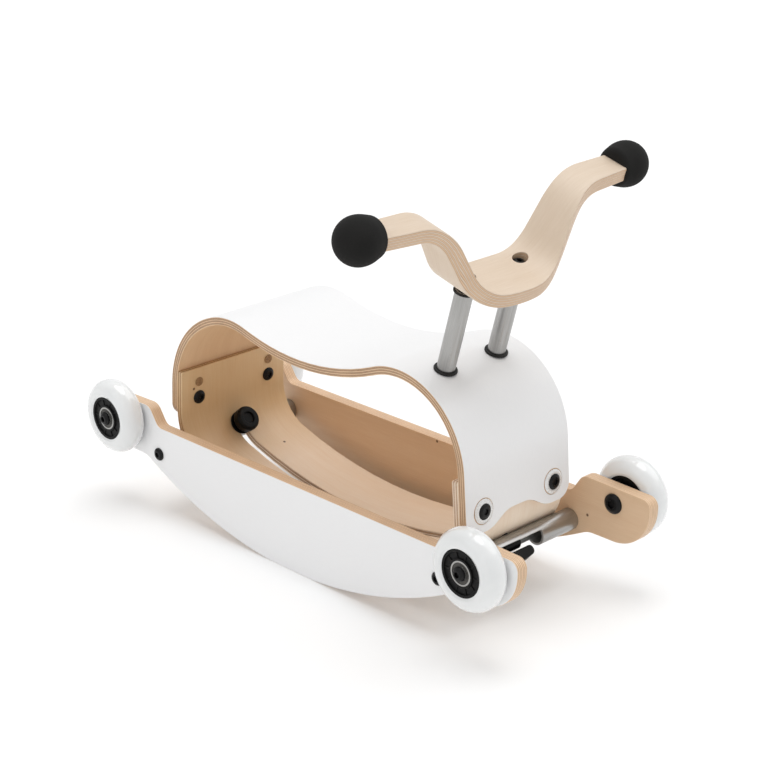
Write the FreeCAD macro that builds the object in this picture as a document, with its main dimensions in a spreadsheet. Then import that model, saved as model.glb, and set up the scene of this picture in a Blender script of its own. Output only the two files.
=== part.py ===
"""Rocking horse on two plywood rockers, with a moulded saddle, a gull-wing handlebar and four wheels.

Frame: +X points to the front, +Z up, floor at Z = 0, origin midway between the wheel axles and the
two rockers. All lengths are in millimetres and all angles in degrees.
"""
import FreeCAD, Part
import math
import os
from FreeCAD import Placement, Rotation, Vector

doc = FreeCAD.newDocument("RockingHorse")
sheet = doc.addObject("Spreadsheet::Sheet", "Sizes")

SIZES = {
    # rockers: two plywood sides that carry the wheels and roll on the floor
    "axle_height": 87.5,
    "wheelbase": 468,
    "rocker_spread": 178,
    "rocker_thickness": 12,
    "rocker_radius": 430,
    "rest_flat": 56,
    "rail_height": 85,
    "ear_reach": 273.5,
    "ear_base": 51.5,
    "ear_nose_height": 101.5,
    "ear_shoulder_x": 198.5,
    "ear_shoulder_height": 103.5,
    "ear_foot_x": 186,
    "ear_nose_radius": 39,
    "ear_corner_radius": 9,
    "ear_shoulder_radius": 12,
    "ear_underside_radius": 26,
    # cross tubes between the rockers
    "tube_diameter": 20,
    "tube_wall": 2,
    "plug_length": 22,
    "plug_bolt_short": 4,
    "tube_bolt": 6,
    "tube_bolt_head": 12.5,
    "tube_bolt_head_height": 3,
    # wheels
    "tyre_diameter": 72,
    "tyre_width": 24,
    "tyre_crown_radius": 11.5,
    "hub_diameter": 42,
    "hub_width": 22,
    "hub_shoulder_bore": 19,
    "bearing_diameter": 22,
    "bearing_bore": 8,
    "bearing_width": 7,
    "axle_clearance": 0.03,
    "wheel_side_gap": 0.3,
    "axle_head": 13,
    "axle_head_height": 4,
    "nut_head": 18.5,
    "nut_head_height": 3.5,
    "nut_sleeve": 12,
    "nut_standoff": 2,
    # saddle shell: one strip of moulded plywood, legs leaning in towards the top
    "saddle_width": 129,
    "shell_thickness": 8,
    "leg_lean_angle": 3.5,
    "leg_reach": 195,
    "rear_shoulder_height": 179,
    "rear_round_ratio": 0.6316,
    "crest_inset": 85,
    "crest_height": 211.3,
    "crest_round_ratio": 0.9197,
    "dip_x": 5,
    "dip_height": 180.3,
    "dip_round_ratio": 0.9719,
    "front_shoulder_height": 252.3,
    "front_round_ratio": 0.6623,
    "leg_end_height": 87.5,
    "leg_arch_rise": 12,
    "leg_arch_outer_y": 34,
    "leg_arch_inner_y": 14,
    "leg_arch_radius": 28,
    "leg_corner_radius": 14,
    # strap: the U of plywood inside the legs that rests between the cross tubes
    "strap_thickness": 7,
    "strap_top": 135.7,
    "strap_low": 27.7,
    "strap_radius": 470,
    "strap_corner_radius": 42,
    "slot_width": 10.4,
    "slot_top": 64,
    "clamp_angle": 36,
    "seat_gap": 0.1,
    # bolted joints between strap and legs
    "leg_bolt_height": 106.5,
    "leg_bolt_spread": 87,
    "socket_share": 0.25,
    "socket_floor": 0.4,
    "leg_bolt": 5,
    "leg_bolt_head": 14,
    "leg_bolt_head_height": 2.6,
    "cup_diameter": 22,
    "cup_height": 1.6,
    "cup_floor": 0.4,
    "cup_pocket": 14.4,
    "barrel_diameter": 8,
    "barrel_head": 12,
    "barrel_head_height": 2.5,
    "hole_clearance": 0.2,
    "insert_height": 121.5,
    "insert_flange": 11,
    "insert_flange_height": 0.8,
    "insert_thread": 5,
    "insert_length": 6,
    "insert_proud": 0.4,
    # posts and handlebar
    "post_diameter": 16,
    "post_lean_angle": 16,
    "post_spread": 62,
    "post_inset": 58.2,
    "post_length": 78.6,
    "post_below": 14,
    "post_bore": 8,
    "anchor_diameter": 24,
    "anchor_height": 4,
    "foot_collar_diameter": 20.8,
    "foot_collar_height": 2.2,
    "head_collar_diameter": 22,
    "head_collar_height": 2,
    "bar_thickness": 13,
    "bar_reach": 164,
    "bar_front": 38,
    "bar_back": 17,
    "bar_front_flat": 26,
    "bar_neck_front": 8,
    "bar_neck_y": 84,
    "bar_neck_radius": 70,
    "bar_back_flat": 36,
    "bar_back_radius": 100,
    "bar_back_neck": 23,
    "bar_back_neck_y": 88,
    "bar_back_neck_radius": 150,
    "bar_grip_middle": -11,
    "bar_grip_width": 25,
    "bar_bend_y": 41.3,
    "bar_shoulder_y": 78.8,
    "bar_shoulder_rise": 63.8,
    "bar_end_rise": 64.6,
    "bar_bend_radius": 38,
    "bar_shoulder_radius": 48,
    "bar_sweep_radius": 60,
    "bar_bolt": 7.8,
    "bar_bolt_head": 12.4,
    "bar_bolt_length": 34,
    "bar_recess": 13.4,
    "bar_recess_depth": 4.5,
    "grip_diameter": 40.6,
    "grip_y": 158.2,
    "grip_waist": 4,
    "grip_waist_radius": 25,
    "grip_mouth_diameter": 32.6,
    "grip_mouth_y": 17.5,
    "grip_mouth_radius": 5,
    # knob that holds the strap to the rear tube
    "knob_diameter": 24.5,
    "knob_height": 10.5,
    "knob_neck": 16,
    "knob_neck_length": 3.5,
    "knob_edge": 3,
    "knob_dimple": 12,
    "knob_dimple_depth": 2,
    "stud_diameter": 8,
    "stud_clearance": 0.1,
    "washer_diameter": 23,
    "washer_thickness": 1.5,
    # cam clamp in the window of the front tube
    "window_length": 62,
    "window_angle": 42.6,
    "window_depth": 0.7,
    "drill_overrun": 1,
    "clamp_barrel": 13,
    "clamp_barrel_length": 20,
    "clamp_barrel_y": -2,
    "lever_pivot_y": -13,
    "lever_pivot_depth": 14,
    "lever_heel_radius": 6.2,
    "lever_tip_y": 15.5,
    "lever_tip_inner": 7.2,
    "lever_tip_outer": 15.5,
    "lever_inner_round": 3.5,
    "lever_outer_round": 4.5,
    "lever_width": 13,
    "lever_fork": 6,
    "fork_reach": 9,
    "lever_clearance": 0.3,
    "pin_diameter": 4,
    "pin_clearance": 0.05,
}

for row, (alias, value) in enumerate(SIZES.items(), start=1):
    sheet.set(f"A{row}", alias)
    sheet.set(f"B{row}", str(value))
    sheet.setAlias(f"B{row}", alias)
doc.recompute()


def size(alias):
    """The number that the sheet holds under this alias."""
    return float(sheet.get(alias))


def bind(item, **expressions):
    """Tie properties of an object to cells of the sheet; words are aliases."""
    for name, expression in expressions.items():
        item.setExpression(name, expression)


# ---------------------------------------------------------------- outlines

def tangent_length(before, corner, after, radius):
    """How far from a corner its round starts, and that round's centre direction."""
    to_before = (before - corner).normalize()
    to_after = (after - corner).normalize()
    half = to_before.getAngle(to_after) / 2
    return radius / math.tan(half), to_before, to_after, half


def rounded(points, closed=False):
    """Edges through points (x, y, radius), each corner rounded by a tangent arc."""
    spots = [Vector(x, y, 0) for x, y, radius in points]
    radii = [radius for x, y, radius in points]
    count = len(spots)
    edges = []
    corners = range(count) if closed else range(1, count - 1)
    leave = None if closed else spots[0]
    first = None
    for i in corners:
        before, corner, after = spots[i - 1], spots[i], spots[(i + 1) % count]
        if radii[i] == 0:
            start = middle = end = corner
        else:
            reach, to_before, to_after, half = tangent_length(before, corner, after, radii[i])
            start = corner + to_before * reach
            end = corner + to_after * reach
            inward = (to_before + to_after).normalize()
            middle = corner + inward * (radii[i] / math.sin(half) - radii[i])
        if leave is not None and (start - leave).Length > 1e-6:
            edges.append(Part.LineSegment(leave, start))
        if radii[i] > 0:
            edges.append(Part.Arc(start, middle, end))
        first = first or start
        leave = end
    last = first if closed else spots[-1]
    if (last - leave).Length > 1e-6:
        edges.append(Part.LineSegment(leave, last))
    return edges


def shifted(points, distance):
    """The same open outline moved sideways to its right, with its rounds still concentric."""
    spots = [Vector(x, y, 0) for x, y, radius in points]
    lines = []
    for start, end in zip(spots, spots[1:]):
        along = (end - start).normalize()
        side = Vector(along.y, -along.x, 0) * distance
        lines.append((start + side, end + side, along))
    moved = [lines[0][0]]
    for (a, b, u), (c, d, v) in zip(lines, lines[1:]):
        cross = u.x * v.y - u.y * v.x
        step = ((c.x - a.x) * v.y - (c.y - a.y) * v.x) / cross
        moved.append(a + u * step)
    moved.append(lines[-1][1])
    result = []
    for i, spot in enumerate(moved):
        radius = points[i][2]
        if radius:
            u, v = lines[i - 1][2], lines[i][2]
            turns_right = u.x * v.y - u.y * v.x < 0
            radius += -distance if turns_right else distance
        result.append((spot.x, spot.y, radius))
    return result


def backwards(edges):
    """The same edges, run through from the other end."""
    turned = []
    for edge in reversed(edges):
        if isinstance(edge, Part.LineSegment):
            turned.append(Part.LineSegment(edge.EndPoint, edge.StartPoint))
        else:
            middle = edge.value((edge.FirstParameter + edge.LastParameter) / 2)
            start = edge.value(edge.LastParameter)
            turned.append(Part.Arc(start, middle, edge.value(edge.FirstParameter)))
    return turned


def ends_of(edge):
    """Where an edge starts and stops."""
    if isinstance(edge, Part.LineSegment):
        return edge.StartPoint, edge.EndPoint
    return edge.value(edge.FirstParameter), edge.value(edge.LastParameter)


def bridge(one, other):
    """A straight edge from the end of one run of edges to the start of another."""
    return Part.LineSegment(ends_of(one[-1])[1], ends_of(other[0])[0])


def ring_of(edges, back):
    """Two runs joined at both ends into one closed loop."""
    back = backwards(back)
    return edges + [bridge(edges, back)] + back + [bridge(back, edges)]


# ---------------------------------------------------------------- features

def origin_plane(body, role):
    """One of a body's own origin planes."""
    return [item for item in body.Origin.OriginFeatures if item.Role == role][0]


def sketch_on(body, role, edges, name):
    """A sketch with these edges on an origin plane of the body."""
    sketch = body.newObject("Sketcher::SketchObject", name)
    sketch.AttachmentSupport = [(origin_plane(body, role), "")]
    sketch.MapMode = "FlatFace"
    for edge in edges:
        sketch.addGeometry(edge, False)
    return sketch


def padded(label, role, edges, length):
    """A body padded equally to both sides of an origin plane."""
    body = doc.addObject("PartDesign::Body", label)
    sketch = sketch_on(body, role, edges, label + "_outline")
    pad = body.newObject("PartDesign::Pad", label + "_pad")
    pad.Profile = sketch
    pad.Midplane = True
    bind(pad, Length=length)
    body.Tip = pad
    return body


def pocketed(body, role, edges, name):
    """A pocket right through the body, to both sides of an origin plane."""
    sketch = sketch_on(body, role, edges, name + "_outline")
    pocket = body.newObject("PartDesign::Pocket", name)
    pocket.Profile = sketch
    pocket.Type = "ThroughAll"
    pocket.Midplane = True
    body.Tip = pocket
    return body


def turned(label, points):
    """A body of revolution about its own Y axis, from (radius, y, round) points."""
    body = doc.addObject("PartDesign::Body", label)
    sketch = sketch_on(body, "XY_Plane", rounded(points, closed=True), label + "_section")
    spin = body.newObject("PartDesign::Revolution", label + "_turn")
    spin.Profile = sketch
    spin.ReferenceAxis = (sketch, ["V_Axis"])
    spin.Angle = 360
    body.Tip = spin
    return body


def rod(label, radius, height, place=None):
    """A cylinder with its size bound to the sheet, from its foot along its own Z."""
    item = doc.addObject("Part::Cylinder", label)
    bind(item, Radius=radius, Height=height)
    item.Placement = place or Placement()
    return item


def block(label, length, width, height, place=None):
    """A box with its size bound to the sheet, from its low corner."""
    item = doc.addObject("Part::Box", label)
    bind(item, Length=length, Width=width, Height=height)
    item.Placement = place or Placement()
    return item


def less(label, base, *tools):
    """The base without the tools."""
    cut = doc.addObject("Part::Cut", label)
    cut.Base = base
    cut.Tool = tools[0] if len(tools) == 1 else joined(label + "_tools", *tools)
    return cut


def joined(label, *items):
    """Several shapes fused into one."""
    fuse = doc.addObject("Part::MultiFuse", label)
    fuse.Shapes = list(items)
    return fuse


def group(label, items):
    """Identical loose pieces kept together as one sub-part of separate solids."""
    compound = doc.addObject("Part::Compound", label)
    compound.Links = items
    return compound


def disc(x, z, radius):
    """A full circle for a sketch."""
    return Part.Circle(Vector(x, z, 0), Vector(0, 0, 1), radius)


NODES = []


def keep(item, place=None):
    """Count an object as a sub-part of the horse, at this place."""
    if place is not None:
        item.Placement = place
    NODES.append(item)
    return item


# ---------------------------------------------------------------- shared places

SIDES = {"left": 1, "right": -1}
ENDS = {"front": 1, "rear": -1}
half_base = size("wheelbase") / 2
half_spread = size("rocker_spread") / 2
inner_face = half_spread - size("rocker_thickness")
lean = math.radians(size("leg_lean_angle"))
post_tilt = Rotation(Vector(0, 1, 0), size("post_lean_angle"))


def leg_line(depth):
    """(x, z) at the leg's foot and at the given height, this deep under its outer face."""
    def at(height):
        outer = size("leg_reach") - math.tan(lean) * (height - size("axle_height"))
        return outer - depth / math.cos(lean)
    return at


strap_depth = size("shell_thickness") + size("strap_thickness")


def strap_corner():
    """Centre of the strap's front bend, tangent to its upright and to its dished bottom."""
    upright = leg_line(strap_depth)
    outward = Vector(math.cos(lean), math.sin(lean), 0)
    upward = Vector(-math.sin(lean), math.cos(lean), 0)
    foot = Vector(upright(size("axle_height")), size("axle_height"), 0)
    start = foot - outward * size("strap_corner_radius")
    dish = Vector(0, size("strap_low") + size("strap_radius"), 0)
    reach = size("strap_radius") - size("strap_corner_radius")
    away = start - dish
    along = away.dot(upward)
    step = -along - math.sqrt(along ** 2 - away.dot(away) + reach ** 2)
    return start + upward * step


corner = strap_corner()
clamp_tilt = math.radians(size("clamp_angle"))
clamp_out = Vector(math.cos(clamp_tilt), 0, -math.sin(clamp_tilt))
tube_radius = size("tube_diameter") / 2
tube_reach = (size("strap_corner_radius") + size("strap_thickness") + size("seat_gap") + tube_radius)
tube_x = corner.x + clamp_out.x * tube_reach
tube_z = corner.y + clamp_out.z * tube_reach


def along_y(x, y, z, side):
    """A place whose own Z axis runs outwards along Y on the given side."""
    return Placement(Vector(x, y, z), Rotation(Vector(1, 0, 0), -90 * side))


# ---------------------------------------------------------------- rockers

def rocker_outline():
    """Closed outline: eared ends with a notch, a straight rail and a round bottom edge."""
    radius = size("rocker_radius")
    half_flat = size("rest_flat") / 2
    centre_z = math.sqrt(radius ** 2 - half_flat ** 2)
    hollow = size("ear_underside_radius")
    hollow_z = size("ear_base") - hollow
    hollow_x = math.sqrt((radius + hollow) ** 2 - (centre_z - hollow_z) ** 2)
    reach = radius / (radius + hollow)
    touch = Vector(hollow_x * reach, centre_z + (hollow_z - centre_z) * reach, 0)
    ear_start = Vector(hollow_x, size("ear_base"), 0)
    lift = Vector(touch.x + ear_start.x, touch.y + ear_start.y, 0) * 0.5
    hollow_centre = Vector(hollow_x, hollow_z, 0)
    hollow_middle = hollow_centre + (lift - hollow_centre).normalize() * hollow
    flat_end = Vector(half_flat, 0, 0)
    swing = (math.asin(half_flat / radius) + math.asin(touch.x / radius)) / 2
    arc_middle = Vector(radius * math.sin(swing), centre_z - radius * math.cos(swing), 0)
    bend = size("ear_corner_radius")
    ear = [
        (ear_start.x, ear_start.y, 0),
        (size("ear_reach"), size("ear_base"), size("ear_nose_radius")),
        (size("ear_reach"), size("ear_nose_height"), bend),
        (size("ear_shoulder_x"), size("ear_shoulder_height"), size("ear_shoulder_radius")),
        (size("ear_foot_x"), size("rail_height"), bend),
    ]
    upper = ear + [(-x, z, r) for x, z, r in reversed(ear)]
    mirror = [Vector(-spot.x, spot.y, 0) for spot in (ear_start, hollow_middle, touch, arc_middle, flat_end)]
    return rounded(upper) + [
        Part.Arc(mirror[0], mirror[1], mirror[2]),
        Part.Arc(mirror[2], mirror[3], mirror[4]),
        Part.LineSegment(mirror[4], flat_end),
        Part.Arc(flat_end, arc_middle, touch),
        Part.Arc(touch, hollow_middle, ear_start),
    ]


def make_rockers():
    """Two identical sides, bored for the wheel sleeves and the tube bolts."""
    sleeve = size("nut_sleeve") / 2
    bolt = size("tube_bolt") / 2 + size("hole_clearance")
    for name, side in SIDES.items():
        body = padded("rocker_" + name, "XZ_Plane", rocker_outline(), "Sizes.rocker_thickness")
        bores = []
        for end in ENDS.values():
            bores.append(disc(end * half_base, size("axle_height"), sleeve))
            bores.append(disc(end * tube_x, tube_z, bolt))
        pocketed(body, "XZ_Plane", bores, body.Label + "_bores")
        middle = side * (half_spread - size("rocker_thickness") / 2)
        keep(body, Placement(Vector(0, middle, 0), Rotation()))


# ---------------------------------------------------------------- cross tubes

def clamp_bore(label, end, start, length):
    """A bore for the clamp's screw, through the tube wall on the strap's side."""
    away = Vector(end * clamp_out.x, 0, clamp_out.z)
    place = Placement(Vector(end * tube_x, 0, tube_z) - away * start, Rotation(Vector(0, 0, 1), away))
    return rod(label, "Sizes.stud_diameter / 2 + Sizes.stud_clearance", length, place)


def window_place(depth, y, across):
    """A place in the window's frame: X out of the window, Y along the tube, Z across it."""
    turn = Rotation(Vector(0, 1, 0), size("window_angle"))
    frame = Placement(Vector(tube_x, 0, tube_z), turn)
    return frame.multiply(Placement(Vector(depth, y, across), Rotation()))


def make_tubes():
    """Hollow tubes between the rockers; the front one has a window for the cam clamp."""
    for name, end in ENDS.items():
        place = along_y(end * tube_x, -inner_face, tube_z, 1)
        outside = rod(name + "_tube_outside", "Sizes.tube_diameter / 2",
                      "Sizes.rocker_spread - 2 * Sizes.rocker_thickness", place)
        bore = rod(name + "_tube_bore", "Sizes.tube_diameter / 2 - Sizes.tube_wall",
                   "Sizes.rocker_spread - 2 * Sizes.rocker_thickness", place)
        tools = [bore, clamp_bore(name + "_tube_screw_bore", end, tube_radius + size("drill_overrun"),
                                  "Sizes.tube_diameter / 2 + Sizes.drill_overrun")]
        if end > 0:
            low = window_place(size("window_depth"), -size("window_length") / 2, -size("tube_diameter"))
            tools.append(block("window", "Sizes.tube_diameter", "Sizes.window_length",
                               "Sizes.tube_diameter * 2", low))
        keep(less("cross_tube_" + name, outside, *tools))


def make_tube_plugs():
    """Threaded plugs pressed into the tube ends."""
    plugs = []
    for x in (tube_x, -tube_x):
        for name, side in SIDES.items():
            tag = f"plug_{len(plugs) + 1}"
            place = along_y(x, side * (inner_face - size("plug_length")), tube_z, side)
            outside = rod(tag + "_outside", "Sizes.tube_diameter / 2 - Sizes.tube_wall",
                          "Sizes.plug_length", place)
            thread = rod(tag + "_thread", "Sizes.tube_bolt / 2", "Sizes.plug_length", place)
            plugs.append(less(tag, outside, thread))
    keep(group("tube_plugs", plugs))


def button_bolt(tag, head, head_height, shank, shank_length, place):
    """A button-head socket bolt: its own Z points out of the head, the head's underside at 0."""
    cap = rod(tag + "_head", f"{head} / 2", head_height)
    stem = rod(tag + "_shank", f"{shank} / 2", shank_length)
    stem.Placement = Placement(Vector(0, 0, 0), Rotation(Vector(1, 0, 0), 180))
    solid = joined(tag + "_solid", cap, stem)
    socket = doc.addObject("Part::Prism", tag + "_socket")
    socket.Polygon = 6
    bind(socket, Circumradius=f"{head} * Sizes.socket_share", Height=head_height)
    rise = cap.evalExpression(head_height) * size("socket_floor")
    socket.Placement = Placement(Vector(0, 0, float(rise)), Rotation())
    bolt = less(tag, solid, socket)
    bolt.Placement = place
    return bolt


def make_tube_bolts():
    """Four bolts from outside the rockers into the tube plugs."""
    bolts = []
    for x in (tube_x, -tube_x):
        for side in SIDES.values():
            bolts.append(button_bolt(
                f"tube_bolt_{len(bolts) + 1}", "Sizes.tube_bolt_head", "Sizes.tube_bolt_head_height",
                "Sizes.tube_bolt", "Sizes.rocker_thickness + Sizes.plug_length - Sizes.plug_bolt_short",
                along_y(x, side * half_spread, tube_z, side)))
    keep(group("tube_bolts", bolts))


# ---------------------------------------------------------------- wheels

wheel_y = half_spread + size("nut_standoff") + size("wheel_side_gap") + size("hub_width") / 2


def make_wheel(name, x, side):
    """Tyre, hub and a pair of bearings, all turning together on a fixed bolt."""
    place = Placement(Vector(x, side * wheel_y, size("axle_height")), Rotation())
    rim = size("hub_diameter") / 2
    crown = size("tyre_diameter") / 2
    half_width = size("tyre_width") / 2
    half_hub = size("hub_width") / 2
    tyre = [
        (rim, -half_hub, 0), (rim + 3, -half_width, 0), (crown, -half_width, size("tyre_crown_radius")),
        (crown, half_width, size("tyre_crown_radius")), (rim + 3, half_width, 0), (rim, half_hub, 0),
    ]
    keep(turned("tyre_" + name, tyre), place)
    seat = size("bearing_diameter") / 2
    shoulder = size("hub_shoulder_bore") / 2
    inner = half_hub - size("bearing_width")
    hub = [
        (seat, -half_hub, 0), (rim, -half_hub, 0), (rim, half_hub, 0), (seat, half_hub, 0),
        (seat, inner, 0), (shoulder, inner, 0), (shoulder, -inner, 0), (seat, -inner, 0),
    ]
    keep(turned("hub_" + name, hub), place)
    pair = []
    for step, start in enumerate((-half_hub, inner)):
        tag = f"bearing_{name}_{step + 1}"
        base = along_y(0, start, 0, 1)
        outside = rod(tag + "_outside", "Sizes.bearing_diameter / 2", "Sizes.bearing_width", base)
        bore = rod(tag + "_bore", "Sizes.bearing_bore / 2", "Sizes.bearing_width", base)
        pair.append(less(tag, outside, bore))
    keep(group("bearings_" + name, pair), place)


def make_axles():
    """Bolt and sleeve nut of each wheel: the sleeve keeps the bearing clear of the rocker."""
    bolts = []
    nuts = []
    sleeve_length = "Sizes.rocker_thickness + Sizes.nut_standoff"
    for x in (half_base, -half_base):
        for side in SIDES.values():
            number = len(bolts) + 1
            outer = wheel_y + size("hub_width") / 2 + size("wheel_side_gap")
            bolts.append(button_bolt(
                f"axle_bolt_{number}", "Sizes.axle_head", "Sizes.axle_head_height",
                "(Sizes.bearing_bore - 2 * Sizes.axle_clearance)",
                f"Sizes.hub_width + 2 * Sizes.wheel_side_gap + {sleeve_length}",
                along_y(x, side * outer, size("axle_height"), side)))
            tag = f"axle_nut_{number}"
            at_face = along_y(x, side * inner_face, size("axle_height"), side)
            sleeve = rod(tag + "_sleeve", "Sizes.nut_sleeve / 2", sleeve_length, at_face)
            head = rod(tag + "_head", "Sizes.nut_head / 2", "Sizes.nut_head_height",
                       along_y(x, side * (inner_face - size("nut_head_height")), size("axle_height"), side))
            bore = rod(tag + "_bore", "Sizes.bearing_bore / 2 - Sizes.axle_clearance", sleeve_length, at_face)
            nuts.append(less(tag, joined(tag + "_solid", sleeve, head), bore))
    keep(group("axle_bolts", bolts))
    keep(group("axle_nuts", nuts))


def make_wheels():
    """Four wheels at the rockers' ears."""
    for end_name, end in ENDS.items():
        for side_name, side in SIDES.items():
            make_wheel(f"{end_name}_{side_name}", end * half_base, side)


# ---------------------------------------------------------------- saddle

def leg_end_outline():
    """What is cut away below the legs: two lobes round the bolts with an arch between them."""
    half_width = size("saddle_width") / 2
    foot = size("leg_end_height")
    arch = foot + size("leg_arch_rise")
    corner_round = size("leg_corner_radius")
    arch_round = size("leg_arch_radius")
    below = foot - 2 * corner_round
    above = foot + 2 * corner_round
    beyond = half_width + corner_round
    lobe = [
        (beyond, below, 0), (beyond, above, 0), (half_width, above, 0), (half_width, foot, corner_round),
        (size("leg_arch_outer_y"), foot, arch_round), (size("leg_arch_inner_y"), arch, arch_round),
    ]
    return rounded(lobe + [(-y, z, r) for y, z, r in reversed(lobe)], closed=True)


def saddle_outline():
    """Outer line of the shell, from the rear foot over the seat to the front foot.

    The shoulders' rounds take their ratios of the leg lines, the crest's round its ratio of the run
    left beside the rear one, and the dip's round its ratio of the shorter run left on its sides.
    """
    outer = leg_line(0)
    foot = size("leg_end_height")
    rear, front = size("rear_shoulder_height"), size("front_shoulder_height")
    corners = [
        (-outer(foot), foot), (-outer(rear), rear),
        (size("crest_inset") - size("leg_reach"), size("crest_height")), (size("dip_x"), size("dip_height")),
        (outer(front), front), (outer(foot), foot),
    ]
    spots = [Vector(x, y, 0) for x, y in corners]
    runs = [(after - before).Length for before, after in zip(spots, spots[1:])]
    rear_reach = size("rear_round_ratio") * runs[0]
    crest_reach = size("crest_round_ratio") * (runs[1] - rear_reach)
    front_reach = size("front_round_ratio") * runs[4]
    dip_reach = size("dip_round_ratio") * min(runs[2] - crest_reach, runs[3] - front_reach)
    outline = [(*corners[0], 0)]
    for i, reach in enumerate((rear_reach, crest_reach, dip_reach, front_reach), 1):
        unit_reach = tangent_length(spots[i - 1], spots[i], spots[i + 1], 1)[0]
        outline.append((*corners[i], reach / unit_reach))
    return outline + [(*corners[-1], 0)]


def shoulder_round(end):
    """Centre and radius of the shell's outer round over one leg."""
    arcs = [edge for edge in rounded(saddle_outline()) if not isinstance(edge, Part.LineSegment)]
    shoulder = (arcs[-1] if end > 0 else arcs[0]).toShape().Curve
    return shoulder.Center, shoulder.Radius


def leg_bores(tag):
    """Drills for the four leg bolts, through shell and strap on the legs' leaning axes."""
    drills = []
    for end in ENDS.values():
        for side in SIDES.values():
            drills.append(rod(f"{tag}_bore_{len(drills) + 1}",
                              "Sizes.barrel_diameter / 2 + Sizes.hole_clearance",
                              "2 * (Sizes.shell_thickness + Sizes.strap_thickness)",
                              leg_place(end, side, size("leg_bolt_height"), 1.5 * strap_depth)))
    return drills


def skin_height(x):
    """How high the saddle's outer skin is at this X."""
    skin = Part.Wire([edge.toShape() for edge in rounded(saddle_outline())])
    plumb = Part.makeLine(Vector(x, size("axle_height"), 0), Vector(x, size("wheelbase"), 0))
    return plumb.distToShape(skin)[1][0][0].y


def post_place(side, start):
    """On the post's axis, its own Z up the post, this far above the shell's skin."""
    foot_x = size("leg_reach") - size("post_inset")
    foot = Vector(foot_x, side * size("post_spread") / 2, skin_height(foot_x))
    return Placement(foot, post_tilt).multiply(Placement(Vector(0, 0, start), Rotation()))


def collar_lift():
    """How far up the post a foot collar starts, clear of the skin under all of its ring."""
    upward = post_tilt.multVec(Vector(0, 0, 1))
    foot = post_place(0, 0).Base
    rises = []
    for step in range(-4, 5):
        x = foot.x + step / 4 * size("foot_collar_diameter") / 2
        rises.append((Vector(x, 0, skin_height(x)) - foot).dot(upward))
    return max(rises) + size("hole_clearance")


def make_shell():
    """The moulded seat: one strip bent over both legs, bored for leg bolts and posts."""
    outer = rounded(saddle_outline())
    inner = rounded(shifted(saddle_outline(), size("shell_thickness")))
    strip = padded("saddle_strip", "XZ_Plane", ring_of(outer, inner), "Sizes.saddle_width")
    pocketed(strip, "YZ_Plane", leg_end_outline(), "leg_ends")
    bores = leg_bores("shell")
    for name, side in SIDES.items():
        bores.append(rod("post_bore_" + name, "Sizes.post_diameter / 2 + Sizes.hole_clearance",
                         "Sizes.shell_thickness * 4", post_place(side, -2 * size("shell_thickness"))))
    keep(less("saddle_shell", strip, *bores))


def strap_top_edges(end, depth, upright_end):
    """One face of an upright from its top down to the bend, hugging the shell where that curves."""
    centre, skin_radius = shoulder_round(end)
    radius = skin_radius - depth
    outward = Vector(end * math.cos(lean), math.sin(lean), 0)
    bend_start = centre + outward * radius
    top = size("strap_top")
    if top <= bend_start.y:
        peak = Vector(end * leg_line(depth)(top), top, 0)
        return [Part.LineSegment(peak, upright_end)]
    peak = Vector(centre.x + end * math.sqrt(radius ** 2 - (top - centre.y) ** 2), top, 0)
    halfway = centre + ((peak + bend_start) * 0.5 - centre).normalize() * radius
    return [Part.Arc(peak, halfway, bend_start), Part.LineSegment(bend_start, upright_end)]


def strap_outline():
    """Closed outline of the strap: uprights, bends and a wide dished bottom."""
    runs = []
    for depth, grow in ((strap_depth, 0), (size("shell_thickness"), size("strap_thickness"))):
        bend = size("strap_corner_radius") + grow
        dish = Vector(0, size("strap_low") + size("strap_radius"), 0)
        sweep = size("strap_radius") + grow
        outward = Vector(math.cos(lean), math.sin(lean), 0)
        upright_end = corner + outward * bend
        dish_end = dish + (corner - dish).normalize() * sweep
        halfway = (outward + (dish_end - corner).normalize()).normalize()
        right = [upright_end, corner + halfway * bend, dish_end]
        left = [Vector(-spot.x, spot.y, 0) for spot in right]
        runs.append(
            strap_top_edges(-1, depth, left[0])
            + [Part.Arc(left[0], left[1], left[2]), Part.Arc(left[2], dish - Vector(0, sweep, 0), right[2]),
               Part.Arc(right[2], right[1], right[0])]
            + backwards(strap_top_edges(1, depth, right[0])))
    return ring_of(runs[1], runs[0])


def make_strap():
    """The strap with its long middle slot, leg bores and the two spare insert bores."""
    strip = padded("strap_strip", "XZ_Plane", strap_outline(), "Sizes.saddle_width")
    bores = leg_bores("strap")
    slot = block("strap_slot", "Sizes.wheelbase", "Sizes.slot_width", "Sizes.slot_top")
    slot.Placement.Base = Vector(-half_base, -size("slot_width") / 2, 0)
    for name, end in ENDS.items():
        bores.append(rod(f"slot_end_{name}", "Sizes.slot_width / 2", "4 * Sizes.strap_thickness",
                         clamp_axis_place(end, tube_radius)))
    for name, side in SIDES.items():
        bores.append(rod(f"insert_bore_{name}", "Sizes.barrel_diameter / 2",
                         "Sizes.strap_thickness * 2", insert_place(side, -size("strap_thickness") * 1.5)))
    keep(less("under_strap", strip, slot, *bores))


def leg_place(end, side, height, depth):
    """On a leg's bolt axis, its own Z out of the leg, this deep under the outer face."""
    outward = Vector(end * math.cos(lean), 0, math.sin(lean))
    face = Vector(end * leg_line(0)(height), side * size("leg_bolt_spread") / 2, height)
    return Placement(face - outward * depth, Rotation(Vector(0, 0, 1), outward))


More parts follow.
